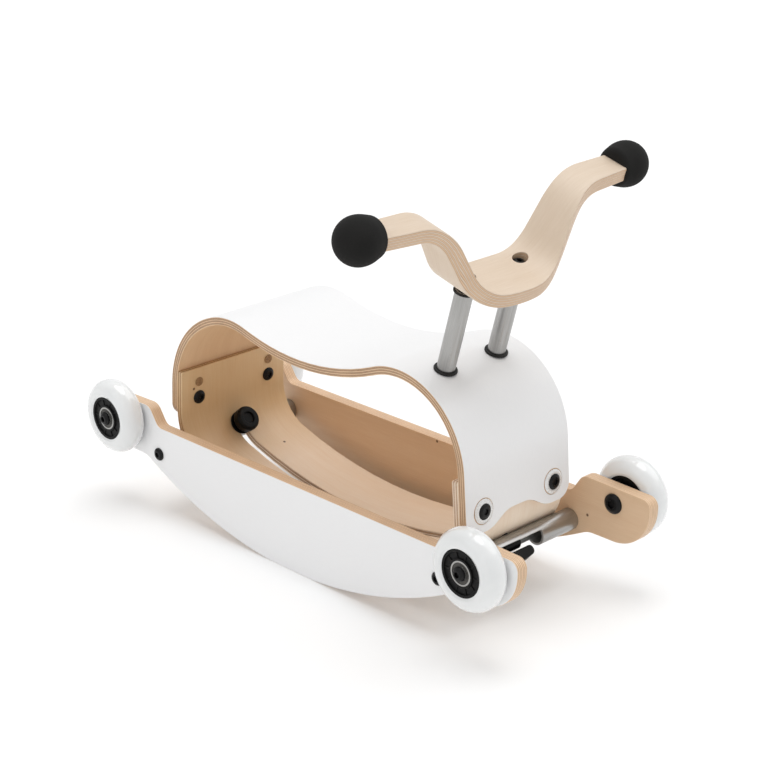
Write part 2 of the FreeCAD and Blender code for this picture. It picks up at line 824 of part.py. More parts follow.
def insert_place(side, lift):
    """On a spare insert's axis, square to the rear upright, its own Z into the saddle."""
    height = size("insert_height")
    centre, skin_radius = shoulder_round(-1)
    radius = skin_radius - strap_depth
    slope = math.asin((height - centre.y) / radius)
    face_x = centre.x - radius * math.cos(slope)
    if slope < lean:
        slope = lean
        face_x = -leg_line(strap_depth)(height)
    inward = Vector(math.cos(slope), 0, -math.sin(slope))
    face = Vector(face_x, side * size("leg_bolt_spread") / 2, height)
    return Placement(face + inward * lift, Rotation(Vector(0, 0, 1), inward))


def make_leg_joints():
    """Cup washer, bolt and barrel nut where the strap meets the legs, twice at each end."""
    cups, bolts, nuts = [], [], []
    barrel_length = "Sizes.shell_thickness + Sizes.strap_thickness"
    for end in ENDS.values():
        for side in SIDES.values():
            number = len(cups) + 1
            at = leg_place(end, side, size("leg_bolt_height"), 0)
            tag = f"cup_washer_{number}"
            plate = rod(tag + "_plate", "Sizes.cup_diameter / 2", "Sizes.cup_height", at)
            hole = rod(tag + "_hole", "Sizes.leg_bolt / 2 + Sizes.hole_clearance", "Sizes.cup_height", at)
            floor = leg_place(end, side, size("leg_bolt_height"), -size("cup_floor"))
            pocket = rod(tag + "_pocket", "Sizes.cup_pocket / 2", "Sizes.cup_height", floor)
            cups.append(less(tag, plate, hole, pocket))
            bolts.append(button_bolt(
                f"leg_bolt_{number}", "Sizes.leg_bolt_head", "Sizes.leg_bolt_head_height",
                "Sizes.leg_bolt", f"{barrel_length} + Sizes.cup_floor", floor))
            tag = f"barrel_nut_{number}"
            inside = leg_place(end, side, size("leg_bolt_height"), strap_depth)
            sleeve = rod(tag + "_sleeve", "Sizes.barrel_diameter / 2", barrel_length, inside)
            deep = strap_depth + size("barrel_head_height")
            head = rod(tag + "_head", "Sizes.barrel_head / 2", "Sizes.barrel_head_height",
                       leg_place(end, side, size("leg_bolt_height"), deep))
            bore = rod(tag + "_bore", "Sizes.leg_bolt / 2", barrel_length, inside)
            nuts.append(less(tag, joined(tag + "_solid", sleeve, head), bore))
    keep(group("cup_washers", cups))
    keep(group("leg_bolts", bolts))
    keep(group("barrel_nuts", nuts))


def make_inserts():
    """Two spare threaded inserts in the rear upright of the strap."""
    inserts = []
    for side in SIDES.values():
        tag = f"insert_{len(inserts) + 1}"
        sleeve = rod(tag + "_sleeve", "Sizes.barrel_diameter / 2", "Sizes.insert_length + Sizes.insert_proud",
                     insert_place(side, -size("insert_length")))
        flange = rod(tag + "_flange", "Sizes.insert_flange / 2", "Sizes.insert_flange_height",
                     insert_place(side, size("insert_proud")))
        thread = rod(tag + "_thread", "Sizes.insert_thread / 2", "Sizes.strap_thickness * 2",
                     insert_place(side, -size("insert_length")))
        inserts.append(less(tag, joined(tag + "_solid", sleeve, flange), thread))
    keep(group("spare_inserts", inserts))


# ---------------------------------------------------------------- posts and handlebar

def make_posts():
    """Two leaning posts through the shell, with rubber collars and anchor nuts under the skin."""
    feet, heads, anchors = [], [], []
    below = size("post_below")
    for name, side in SIDES.items():
        outside = rod(f"post_{name}_outside", "Sizes.post_diameter / 2",
                      "Sizes.post_length + Sizes.post_below", post_place(side, -below))
        bore = rod(f"post_{name}_bore", "Sizes.post_bore / 2", "Sizes.post_length + Sizes.post_below",
                   post_place(side, -below))
        keep(less("post_" + name, outside, bore))
        for tag, pieces, start, height in (
                ("foot_collar", feet, collar_lift(), "Sizes.foot_collar_height"),
                ("head_collar", heads, size("post_length") - size("head_collar_height"),
                 "Sizes.head_collar_height")):
            ring = rod(f"{tag}_{name}_ring", f"Sizes.{tag}_diameter / 2", height, post_place(side, start))
            hole = rod(f"{tag}_{name}_hole", "Sizes.post_diameter / 2", height, post_place(side, start))
            pieces.append(less(f"{tag}_{name}", ring, hole))
        plate = rod(f"anchor_{name}_plate", "Sizes.anchor_diameter / 2", "Sizes.anchor_height",
                    post_place(side, -below))
        hole = rod(f"anchor_{name}_hole", "Sizes.post_diameter / 2", "Sizes.anchor_height",
                   post_place(side, -below))
        anchors.append(less(f"anchor_{name}", plate, hole))
    keep(group("foot_collars", feet))
    keep(group("head_collars", heads))
    keep(group("post_anchors", anchors))


def bar_place():
    """The handlebar's own frame: X forward, Z up the posts, origin on its underside's middle."""
    return post_place(0, size("post_length"))


def bar_top_line():
    """(y, height) points of the bar's top, left to right: low middle, steep wings, flat grips."""
    thick = size("bar_thickness")
    half = [
        (size("bar_bend_y"), thick, size("bar_bend_radius")),
        (size("bar_shoulder_y"), thick + size("bar_shoulder_rise"), size("bar_shoulder_radius")),
        (size("bar_reach"), thick + size("bar_end_rise"), 0),
    ]
    return [(-y, z, r) for y, z, r in reversed(half)] + half


def make_handlebar():
    """Moulded gull-wing bar: its front line and its plan outline, each padded and intersected."""
    top = rounded(bar_top_line())
    bottom = rounded(shifted(bar_top_line(), size("bar_thickness")))
    wing = padded("bar_wing", "YZ_Plane", ring_of(top, bottom), "4 * Sizes.bar_front")
    half_grip = size("bar_grip_width") / 2
    middle = size("bar_grip_middle")
    front = [
        (middle + half_grip, size("bar_reach"), 0),
        (size("bar_neck_front"), size("bar_neck_y"), size("bar_neck_radius")),
        (size("bar_front"), size("bar_front_flat"), size("bar_sweep_radius")),
    ]
    back = [
        (-size("bar_back"), -size("bar_back_flat"), size("bar_back_radius")),
        (-size("bar_back_neck"), -size("bar_back_neck_y"), size("bar_back_neck_radius")),
        (middle - half_grip, -size("bar_reach"), 0),
    ]
    plan = front + [(x, -y, r) for x, y, r in reversed(front)]
    plan += [(x, y, r) for x, y, r in reversed(back)] + [(x, -y, r) for x, y, r in back]
    lid = padded("bar_plan", "XY_Plane", rounded(plan, closed=True), "8 * Sizes.bar_shoulder_rise")
    common = doc.addObject("Part::MultiCommon", "bar_blank")
    common.Shapes = [wing, lid]
    tools = []
    for name, side in SIDES.items():
        y = side * size("post_spread") / 2
        bore = rod("bar_bore_" + name, "Sizes.post_bore / 2", "Sizes.bar_thickness")
        bore.Placement.Base = Vector(0, y, 0)
        recess = rod("bar_recess_" + name, "Sizes.bar_recess / 2", "Sizes.bar_bend_radius")
        recess.Placement.Base = Vector(0, y, size("bar_thickness") - size("bar_recess_depth"))
        tools += [bore, recess]
    return keep(less("handlebar", common, *tools), bar_place())


def make_bar_bolts():
    """The two bolts that hold the bar down on its posts."""
    bolts = []
    for side in SIDES.values():
        lift = size("post_length") + size("bar_thickness") - size("bar_recess_depth")
        bolts.append(button_bolt(
            f"bar_bolt_{len(bolts) + 1}", "Sizes.bar_bolt_head", "Sizes.tube_bolt_head_height",
            "Sizes.bar_bolt", "Sizes.bar_bolt_length", post_place(side, lift)))
    keep(group("bar_bolts", bolts))


def make_grips(bar):
    """Egg-shaped rubber grips pushed over the ends of the bar."""
    ball = size("grip_diameter") / 2
    mouth, mouth_y = size("grip_mouth_diameter") / 2, size("grip_mouth_y")
    egg = [
        (0, -ball, 0), (ball, -ball, ball), (ball, size("grip_waist"), size("grip_waist_radius")),
        (mouth, mouth_y, size("grip_mouth_radius")), (0, mouth_y, 0),
    ]
    run = size("bar_reach") - size("bar_shoulder_y")
    slope = (size("bar_end_rise") - size("bar_shoulder_rise")) / run
    centre_z = (size("bar_thickness") / 2 + size("bar_end_rise")
                - slope * (size("bar_reach") - size("grip_y")))
    for name, side in SIDES.items():
        centre = Vector(size("bar_grip_middle"), side * size("grip_y"), centre_z)
        inward = Rotation(Vector(1, 0, 0), 90 + 90 * side)
        solid = turned(f"grip_{name}_egg", egg)
        solid.Placement = bar_place().multiply(Placement(centre, inward))
        keep(less("grip_" + name, solid, bar))


# ---------------------------------------------------------------- knob and cam clamp

def clamp_axis_place(end, lift):
    """On a clamp's screw axis, its own Z from the tube's centre into the saddle."""
    inward = Vector(-end * clamp_out.x, 0, -clamp_out.z)
    centre = Vector(end * tube_x, 0, tube_z)
    return Placement(centre + inward * lift, Rotation(Vector(0, 0, 1), inward))


def washer_lift():
    """How far from the tube's centre a flat washer touches the strap's hollow bend."""
    radius = size("strap_corner_radius")
    return tube_reach - math.sqrt(radius ** 2 - (size("washer_diameter") / 2) ** 2)


def make_clamp_washers():
    """The two steel washers on the strap, under the knob and under the clamp bolt."""
    for name, end in ENDS.items():
        tag = f"clamp_washer_{name}"
        place = clamp_axis_place(end, washer_lift())
        plate = rod(tag + "_plate", "Sizes.washer_diameter / 2", "Sizes.washer_thickness", place)
        hole = rod(tag + "_hole", "Sizes.stud_diameter / 2 + Sizes.stud_clearance",
                   "Sizes.washer_thickness", place)
        keep(less(tag, plate, hole))


def make_knob():
    """The hand knob with its stud, turned about the rear tube's screw axis."""
    foot = washer_lift() + size("washer_thickness") + size("wheel_side_gap")
    stud = size("stud_diameter") / 2
    neck = size("knob_neck") / 2
    head = size("knob_diameter") / 2
    neck_top = foot + size("knob_neck_length")
    top = neck_top + size("knob_height")
    edge = size("knob_edge")
    dimple = size("knob_dimple") / 2
    floor = top - size("knob_dimple_depth")
    points = [
        (0, 0, 0), (stud, 0, 0), (stud, foot, 0), (neck, foot, 0), (neck, neck_top, 0),
        (head, neck_top, edge), (head, top, edge), (dimple, top, 0), (dimple, floor, 0), (0, floor, 0),
    ]
    knob = turned("strap_knob", points)
    place = clamp_axis_place(-1, 0)
    keep(knob, place.multiply(Placement(Vector(), Rotation(Vector(1, 0, 0), 90))))


def make_tube_nut():
    """The barrel nut inside the rear tube that takes the knob's stud."""
    start = -size("clamp_barrel_length") / 2
    barrel = rod("tube_nut_barrel", "Sizes.tube_diameter / 2 - Sizes.tube_wall",
                 "Sizes.clamp_barrel_length", along_y(-tube_x, start, tube_z, 1))
    thread = rod("tube_nut_thread", "Sizes.stud_diameter / 2 + Sizes.pin_clearance", "Sizes.tube_diameter",
                 clamp_axis_place(-1, -tube_radius))
    keep(less("tube_nut", barrel, thread))


def make_clamp():
    """Cam clamp in the front tube's window: bolt, yoke, pin and lever."""
    reach = washer_lift() + size("washer_thickness")
    bolt = button_bolt("clamp_bolt", "Sizes.leg_bolt_head", "Sizes.leg_bolt_head_height",
                       "Sizes.stud_diameter", f"{reach}", clamp_axis_place(1, reach))
    keep(bolt)
    start = size("clamp_barrel_y") - size("clamp_barrel_length") / 2
    rest = tube_radius - size("tube_wall") - size("clamp_barrel") / 2
    seat = clamp_axis_place(1, rest).Base
    barrel = rod("yoke_barrel", "Sizes.clamp_barrel / 2", "Sizes.clamp_barrel_length",
                 along_y(seat.x, start, seat.z, 1))
    half_tongue = size("lever_fork") / 2 - size("lever_clearance")
    tongue = block("yoke_tongue", "Sizes.lever_pivot_depth + Sizes.pin_diameter", "2 * Sizes.pin_diameter",
                   "Sizes.lever_fork - 2 * Sizes.lever_clearance",
                   window_place(0, size("lever_pivot_y") - size("pin_diameter"), -half_tongue))
    pin_place = window_place(size("lever_pivot_depth"), size("lever_pivot_y"), -size("lever_width") / 2)
    pin_bore = rod("yoke_pin_bore", "Sizes.pin_diameter / 2", "Sizes.lever_width", pin_place)
    bolt_bore = rod("yoke_bolt_bore", "Sizes.stud_diameter / 2", "Sizes.tube_diameter",
                    clamp_axis_place(1, 0))
    keep(less("clamp_yoke", joined("yoke_solid", barrel, tongue), pin_bore, bolt_bore))
    keep(rod("clamp_pin", "Sizes.pin_diameter / 2", "Sizes.lever_width", pin_place))
    make_lever()


def make_lever():
    """The lever: a forked round heel on the pin and a tapering thumb arm."""
    heel = size("lever_heel_radius")
    pivot_y, pivot_d = size("lever_pivot_y"), size("lever_pivot_depth")
    tip = size("lever_tip_y")
    outline = rounded([
        (pivot_d - heel, pivot_y, 0), (size("lever_tip_inner"), tip, size("lever_inner_round")),
        (size("lever_tip_outer"), tip, size("lever_outer_round")), (pivot_d + heel, pivot_y, 0),
    ])
    outline.append(Part.Arc(Vector(pivot_d + heel, pivot_y, 0), Vector(pivot_d, pivot_y - heel, 0),
                            Vector(pivot_d - heel, pivot_y, 0)))
    arm = padded("lever_arm", "XY_Plane", outline, "Sizes.lever_width")
    bore = [disc(pivot_d, pivot_y, size("pin_diameter") / 2 + size("pin_clearance"))]
    pocketed(arm, "XY_Plane", bore, "lever_bore")
    fork = block("lever_fork", "2 * Sizes.lever_pivot_depth", "2 * Sizes.fork_reach", "Sizes.lever_fork")
    fork.Placement.Base = Vector(0, pivot_y - size("fork_reach"), -size("lever_fork") / 2)
    keep(less("clamp_lever", arm, fork), window_place(0, 0, 0))


# ---------------------------------------------------------------- build and write

make_rockers()
make_tubes()
make_tube_plugs()
make_tube_bolts()
make_wheels()
make_axles()
make_shell()
make_strap()
make_leg_joints()
make_inserts()
make_posts()
make_grips(make_handlebar())
make_bar_bolts()
make_clamp_washers()
make_knob()
make_tube_nut()
make_clamp()
doc.recompute()

failed = [item.Label for item in doc.Objects if "Invalid" in item.State or "Error" in item.State]
if failed:
    raise RuntimeError("objects that did not build: " + ", ".join(failed))
for node in NODES:
    if node.Shape.isNull() or not node.Shape.isValid():
        raise RuntimeError("bad shape: " + node.Label)

os.makedirs("parts", exist_ok=True)
for node in NODES:
    node.Shape.exportStep(f"parts/{node.Label}.step")
    box = node.Shape.BoundBox
    print(f"{node.Label}: {len(node.Shape.Solids)} solids, volume {node.Shape.Volume:.0f}, "
          f"x {box.XMin:.1f}..{box.XMax:.1f}, y {box.YMin:.1f}..{box.YMax:.1f}, z {box.ZMin:.1f}..{box.ZMax:.1f}")
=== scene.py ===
import bisect
import math
import bmesh
import bpy
from mathutils import Matrix, Vector


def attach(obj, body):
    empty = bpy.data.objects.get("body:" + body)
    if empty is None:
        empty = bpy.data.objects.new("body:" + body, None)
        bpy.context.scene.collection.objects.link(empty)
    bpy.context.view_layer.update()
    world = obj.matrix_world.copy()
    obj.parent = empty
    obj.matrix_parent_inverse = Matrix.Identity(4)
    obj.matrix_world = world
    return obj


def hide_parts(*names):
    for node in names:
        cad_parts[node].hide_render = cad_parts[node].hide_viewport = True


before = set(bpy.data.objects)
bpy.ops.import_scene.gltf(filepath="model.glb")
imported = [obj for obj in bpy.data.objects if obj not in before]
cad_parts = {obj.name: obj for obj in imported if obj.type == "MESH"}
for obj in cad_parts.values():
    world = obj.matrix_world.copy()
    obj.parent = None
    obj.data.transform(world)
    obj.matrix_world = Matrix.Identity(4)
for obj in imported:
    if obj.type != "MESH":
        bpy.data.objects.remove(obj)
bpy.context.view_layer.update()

# pieces are modelled in millimetres and shrunk to metres when they are finished; angles are in degrees
horse = {
    "axleHeight": 87.5, "axleX": 234, "wheelY": 102.3, "railFace": 89, "railThickness": 12,
    "tubeX": 185.405, "tubeZ": 57.681, "clampAngle": 36, "windowAngle": 42.6,
    "saddleWidth": 129, "saddleReach": 195, "legLean": 3.5, "legBoltHeight": 106.5, "legBoltHalf": 43.5,
    "postLean": 16, "postFoot": (136.8, 213.574), "postSpread": 62, "barLift": 78.6,
}
toMetres = 0.001
ends = (1, -1)
leftRight = (("Left", 1), ("Right", -1))
frontRear = (("Front", 1), ("Rear", -1))
up = Vector((0, 0, 1))


# modelling helpers

def linear(red, green, blue):
    # a colour given the way a colour picker shows it, from 0 to 255
    def channel(value):
        value /= 255
        return value / 12.92 if value < 0.04045 else ((value + 0.055) / 1.055) ** 2.4
    return (channel(red), channel(green), channel(blue), 1)


def tracedLine(bm, corners, closed=False, stepAngle=3):
    # a line through corners (x, y, round); every round is a spun arc
    spots = [Vector((x, y, 0)) for x, y, _ in corners]
    count = len(spots)
    line = [] if closed else [bm.verts.new(spots[0])]
    for i in range(count) if closed else range(1, count - 1):
        corner, radius = spots[i], corners[i][2]
        if not radius:
            line.append(bm.verts.new(corner))
            continue
        back = (spots[i - 1] - corner).normalized()
        ahead = (spots[(i + 1) % count] - corner).normalized()
        half = back.angle(ahead) / 2
        centre = corner + (back + ahead).normalized() * radius / math.sin(half)
        turn = math.pi - 2 * half
        side = -1 if back.cross(ahead).z > 0 else 1
        tip = bm.verts.new(corner + back * radius / math.tan(half))
        before = len(bm.verts)
        steps = max(2, round(math.degrees(turn) / stepAngle))
        bmesh.ops.spin(bm, geom=[tip], cent=centre, axis=(0, 0, side), angle=turn, steps=steps)
        bm.verts.ensure_lookup_table()
        line += [tip] + bm.verts[before:]
    if not closed:
        line.append(bm.verts.new(spots[-1]))
    return line


def sameFaces(bm):
    bmesh.ops.remove_doubles(bm, verts=bm.verts, dist=1e-4)
    bmesh.ops.recalc_face_normals(bm, faces=bm.faces)


def softened(bm, width, angle=35):
    # rounds every crisp edge of a closed shape
    crisp = [e for e in bm.edges if e.is_manifold and e.calc_face_angle(0) > math.radians(angle)]
    bmesh.ops.bevel(bm, geom=crisp, offset=width, segments=2, profile=0.5,
                    affect="EDGES", material=-1, clamp_overlap=True)
    return bm


def plate(corners, thickness, rim=0.8, stepAngle=3):
    # a flat board with rounded rims, its underside at z 0
    bm = bmesh.new()
    face = bm.faces.new(tracedLine(bm, corners, closed=True, stepAngle=stepAngle))
    if face.normal.z < 0:
        face.normal_flip()
    bmesh.ops.extrude_face_region(bm, geom=[face])
    bm.faces.ensure_lookup_table()
    lid = max(bm.faces, key=lambda f: f.calc_center_median().z)
    bmesh.ops.translate(bm, verts=lid.verts[:], vec=(0, 0, thickness))
    sameFaces(bm)
    return softened(bm, rim, angle=60)


def lathed(corners, segments=72, stepAngle=10, closed=True):
    # (radius, height, round) corners turned about Z
    bm = bmesh.new()
    line = tracedLine(bm, corners, closed=closed, stepAngle=stepAngle)
    runs = list(zip(line, line[1:])) + ([(line[-1], line[0])] if closed else [])
    for one, other in runs:
        if not bm.edges.get((one, other)):
            bm.edges.new((one, other))
    bmesh.ops.rotate(bm, verts=bm.verts, matrix=Matrix.Rotation(math.pi / 2, 3, "X"))
    bmesh.ops.spin(bm, geom=bm.verts[:] + bm.edges[:], axis=up, angle=2 * math.pi,
                   steps=segments, use_merge=True)
    sameFaces(bm)
    return bm


def cutAt(bm, spots, direction):
    # loop cuts at these distances along a direction
    for spot in spots:
        bmesh.ops.bisect_plane(bm, geom=bm.verts[:] + bm.edges[:] + bm.faces[:], dist=1e-5,
                               plane_co=Vector(direction) * spot, plane_no=direction)


def block(length, width, height):
    bm = bmesh.new()
    bmesh.ops.create_cube(bm, size=1)
    bmesh.ops.scale(bm, vec=(length, width, height), verts=bm.verts)
    return bm


def keepFlatPlace(bm):
    # remembers where every point lay in the flat board, for the plies and the grain
    layer = bm.verts.layers.float_vector.new("flatPlace")
    for vert in bm.verts:
        vert[layer] = vert.co.copy()


def runAt(marks, value):
    # the run between rising marks that a value falls in
    return min(max(bisect.bisect(marks, value) - 1, 0), len(marks) - 2)


def pathOf(corners):
    # the points of a rounded line, the direction across it at each one, and its length up to there
    bm = bmesh.new()
    spots = [v.co.copy() for v in tracedLine(bm, corners)]
    bm.free()
    lengths = [0]
    for one, other in zip(spots, spots[1:]):
        lengths.append(lengths[-1] + (other - one).length)
    runs = [(other - one).normalized() for one, other in zip(spots, spots[1:])]
    sides = []
    for i in range(len(spots)):
        along = (runs[max(i - 1, 0)] + runs[min(i, len(runs) - 1)]).normalized()
        sides.append(Vector((-along.y, along.x, 0)))
    return spots, sides, lengths


def bentAlong(bm, path, thickness):
    # bends a flat board: its top skin follows the path, in the XZ plane
    spots, sides, lengths = path
    cutAt(bm, lengths[1:-1], (1, 0, 0))
    keepFlatPlace(bm)
    for vert in bm.verts:
        i = runAt(lengths, vert.co.x)
        share = (vert.co.x - lengths[i]) / (lengths[i + 1] - lengths[i])
        spot = spots[i].lerp(spots[i + 1], share)
        side = sides[i].lerp(sides[i + 1], share).normalized() * (vert.co.z - thickness)
        vert.co = (spot.x + side.x, vert.co.y, spot.y + side.y)
    return bm


def meshOf(bm, name):
    mesh = bpy.data.meshes.new(name)
    bm.to_mesh(mesh)
    bm.free()
    return mesh


def intoScene(name, data):
    item = bpy.data.objects.new(name, data)
    bpy.context.scene.collection.objects.link(item)
    return item


def carved(bm, *cutters):
    # takes the cutters out of the shape
    body = intoScene("carving", meshOf(bm, "carving"))
    tools = []
    for i, cutter in enumerate(cutters):
        tool = intoScene(f"cutter{i}", meshOf(cutter, f"cutter{i}"))
        cut = body.modifiers.new(f"cut{i}", "BOOLEAN")
        cut.operation = "DIFFERENCE"
        cut.solver = "EXACT"
        cut.object = tool
        tools.append(tool)
    result = bmesh.new()
    result.from_object(body, bpy.context.evaluated_depsgraph_get())
    for item in tools + [body]:
        bpy.data.objects.remove(item)
    bmesh.ops.dissolve_limit(result, angle_limit=math.radians(0.5), verts=result.verts,
                             edges=result.edges)
    return result


def copies(bm, places):
    # the same shape at several places, as one piece
    mesh = meshOf(bm, "copied")
    result = bmesh.new()
    for place in places:
        before = len(result.verts)
        result.from_mesh(mesh)
        result.verts.ensure_lookup_table()
        bmesh.ops.transform(result, matrix=place, verts=result.verts[before:])
    return result


def placed(bm, place):
    bmesh.ops.transform(bm, matrix=place, verts=bm.verts)
    return bm


def facing(x, y, z, outward):
    # a place whose own Z points outward
    return Matrix.Translation((x, y, z)) @ Vector(outward).to_track_quat("Z", "Y").to_matrix().to_4x4()


def finishPiece(name, bm, materials, body="chassis", node=None, smoothAngle=38):
    # faces outwards, metres, materials, even shading, and then the body and the node it stands for
    if sum(f.calc_area() * f.normal.dot(f.calc_center_median()) for f in bm.faces) < 0:
        bmesh.ops.reverse_faces(bm, faces=bm.faces)
    bmesh.ops.scale(bm, vec=(toMetres, toMetres, toMetres), verts=bm.verts)
    piece = intoScene(name, meshOf(bm, name))
    for material in materials if isinstance(materials, list) else [materials]:
        piece.data.materials.append(material)
    for face in piece.data.polygons:
        face.use_smooth = True
    piece.data.set_sharp_from_angle(angle=math.radians(smoothAngle))
    shade = piece.modifiers.new("evenShading", "WEIGHTED_NORMAL")
    shade.keep_sharp = True
    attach(piece, body)
    # axleBolts stands for axle_bolts, unless the node is named
    replaces = [node or "".join("_" + sign.lower() if sign.isupper() else sign for sign in name)]
    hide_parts(*replaces)


# shared shading effects

def newGroup(name, inputs, outputs):
    group = bpy.data.node_groups.new(name, "ShaderNodeTree")
    for label, kind, value in inputs:
        socket = group.interface.new_socket(name=label, in_out="INPUT", socket_type=kind)
        if value is not None:
            socket.default_value = value
    for label, kind in outputs:
        group.interface.new_socket(name=label, in_out="OUTPUT", socket_type=kind)
    return group, group.nodes.new("NodeGroupInput"), group.nodes.new("NodeGroupOutput")


def wire(tree, source, target):
    tree.links.new(source, target)


def mathNode(tree, operation, one, other=None, clamp=False):
    node = tree.nodes.new("ShaderNodeMath")
    node.operation = operation
    node.use_clamp = clamp
    for socket, value in zip(node.inputs, (one, other)):
        if isinstance(value, (int, float)):
            socket.default_value = value
        elif value is not None:
            wire(tree, value, socket)
    return node.outputs[0]


def mixedColor(tree, factor, one, other, blend="MIX"):
    node = tree.nodes.new("ShaderNodeMix")
    node.data_type = "RGBA"
    node.blend_type = blend
    for socket, value in ((node.inputs[0], factor), (node.inputs[6], one), (node.inputs[7], other)):
        if isinstance(value, (int, float, tuple)):
            socket.default_value = value
        else:
            wire(tree, value, socket)
    return node.outputs[2]


def mixedValue(tree, factor, one, other):
    node = tree.nodes.new("ShaderNodeMix")
    for socket, value in ((node.inputs[0], factor), (node.inputs[2], one), (node.inputs[3], other)):
        wire(tree, value, socket)
    return node.outputs[0]


def stretched(tree, place, stretch):
    mapping = tree.nodes.new("ShaderNodeMapping")
    mapping.inputs["Scale"].default_value = stretch
    wire(tree, place, mapping.inputs["Vector"])
    return mapping.outputs[0]


def noiseNode(tree, place, stretch, scale, detail=4.0, roughness=0.5, distortion=0.0):
    noise = tree.nodes.new("ShaderNodeTexNoise")
    wire(tree, stretched(tree, place, stretch), noise.inputs["Vector"])
    for label, value in (("Scale", scale), ("Detail", detail), ("Roughness", roughness),
                         ("Distortion", distortion)):
        noise.inputs[label].default_value = value
    return noise.outputs["Fac"]


def partOf(tree, place, axis):
    split = tree.nodes.new("ShaderNodeSeparateXYZ")
    wire(tree, place, split.inputs[0])
    return split.outputs[axis]


def rangeNode(tree, value, low, high, toLow=0.0, toHigh=1.0):
    node = tree.nodes.new("ShaderNodeMapRange")
    for socket, number in zip(node.inputs[1:5], (low, high, toLow, toHigh)):
        socket.default_value = number
    wire(tree, value, node.inputs[0])
    return node.outputs[0]


noiseSpan = (0.3, 0.7)  # where nearly all of a noise lies
# a noise is (stretch, scale, detail, roughness, distortion); a span is (from, to, becomes, becomes)
grainLook = {
    "fibres": ((0.03, 1.3, 1.3), 1.6, 5, 0.62, 0.2), "fibreSpan": (0.32, 0.7, 0, 0.5),
    "bands": ((0.006, 0.09, 0.3), 1.0, 3, 0.5, 0.6), "bandSpan": (0.35, 0.68, 0, 0.3),
    "patches": ((0.008, 0.02, 0.02), 1.0, 2, 0.5), "patchSpan": (0.3, 0.7, 0, 0.2),
    "knotSpread": (0.016, 0.03, 0.03), "knotSpan": (0.028, 0.06, 1, 0), "knotColor": linear(120, 84, 52),
    "knotStrength": 0.75, "knotSink": 0.5,
}
plyLook = {
    "wobble": ((0.05, 0.05, 0.05), 1.0, 2, 0.5), "wobbleSpan": (0.3, 0.7, -0.07, 0.07), "skin": 0.02,
    "glueSpan": (0.06, 0.17, 1, 0), "gluePatches": (0.3, 0.6, 0.55, 1.0),
    "speck": ((0.5, 0.5, 2.0), 2.0, 3, 0.6), "speckSpan": (0.3, 0.65, 0.55, 1.0), "crossSink": 0.4,
}


def woodGroup(look):
    # birch veneer: fine fibres along X, slow tone changes and a few pin knots
    group, given, out = newGroup(
        "birchGrain",
        [("Place", "NodeSocketVector", None), ("Light", "NodeSocketColor", None),
         ("Dark", "NodeSocketColor", None), ("Knots", "NodeSocketFloat", 1.0)],
        [("Color", "NodeSocketColor"), ("Height", "NodeSocketFloat")])
    place = given.outputs["Place"]
    fibres = noiseNode(group, place, *look["fibres"])
    bands = noiseNode(group, place, *look["bands"])
    patches = noiseNode(group, place, *look["patches"])
    tone = mathNode(group, "ADD", rangeNode(group, fibres, *look["fibreSpan"]),
                    rangeNode(group, bands, *look["bandSpan"]))
    tone = mathNode(group, "ADD", tone, rangeNode(group, patches, *look["patchSpan"]), clamp=True)
    wood = mixedColor(group, tone, given.outputs["Light"], given.outputs["Dark"])
    cells = group.nodes.new("ShaderNodeTexVoronoi")
    cells.inputs["Scale"].default_value = 1.0
    wire(group, stretched(group, place, look["knotSpread"]), cells.inputs["Vector"])
    knot = mathNode(group, "MULTIPLY", rangeNode(group, cells.outputs["Distance"], *look["knotSpan"]),
                    given.outputs["Knots"])
    wood = mixedColor(group, mathNode(group, "MULTIPLY", knot, look["knotStrength"]), wood,
                      look["knotColor"])
    wire(group, wood, out.inputs["Color"])
    sunk = mathNode(group, "MULTIPLY", knot, look["knotSink"])
    wire(group, mathNode(group, "SUBTRACT", fibres, sunk), out.inputs["Height"])
    return group


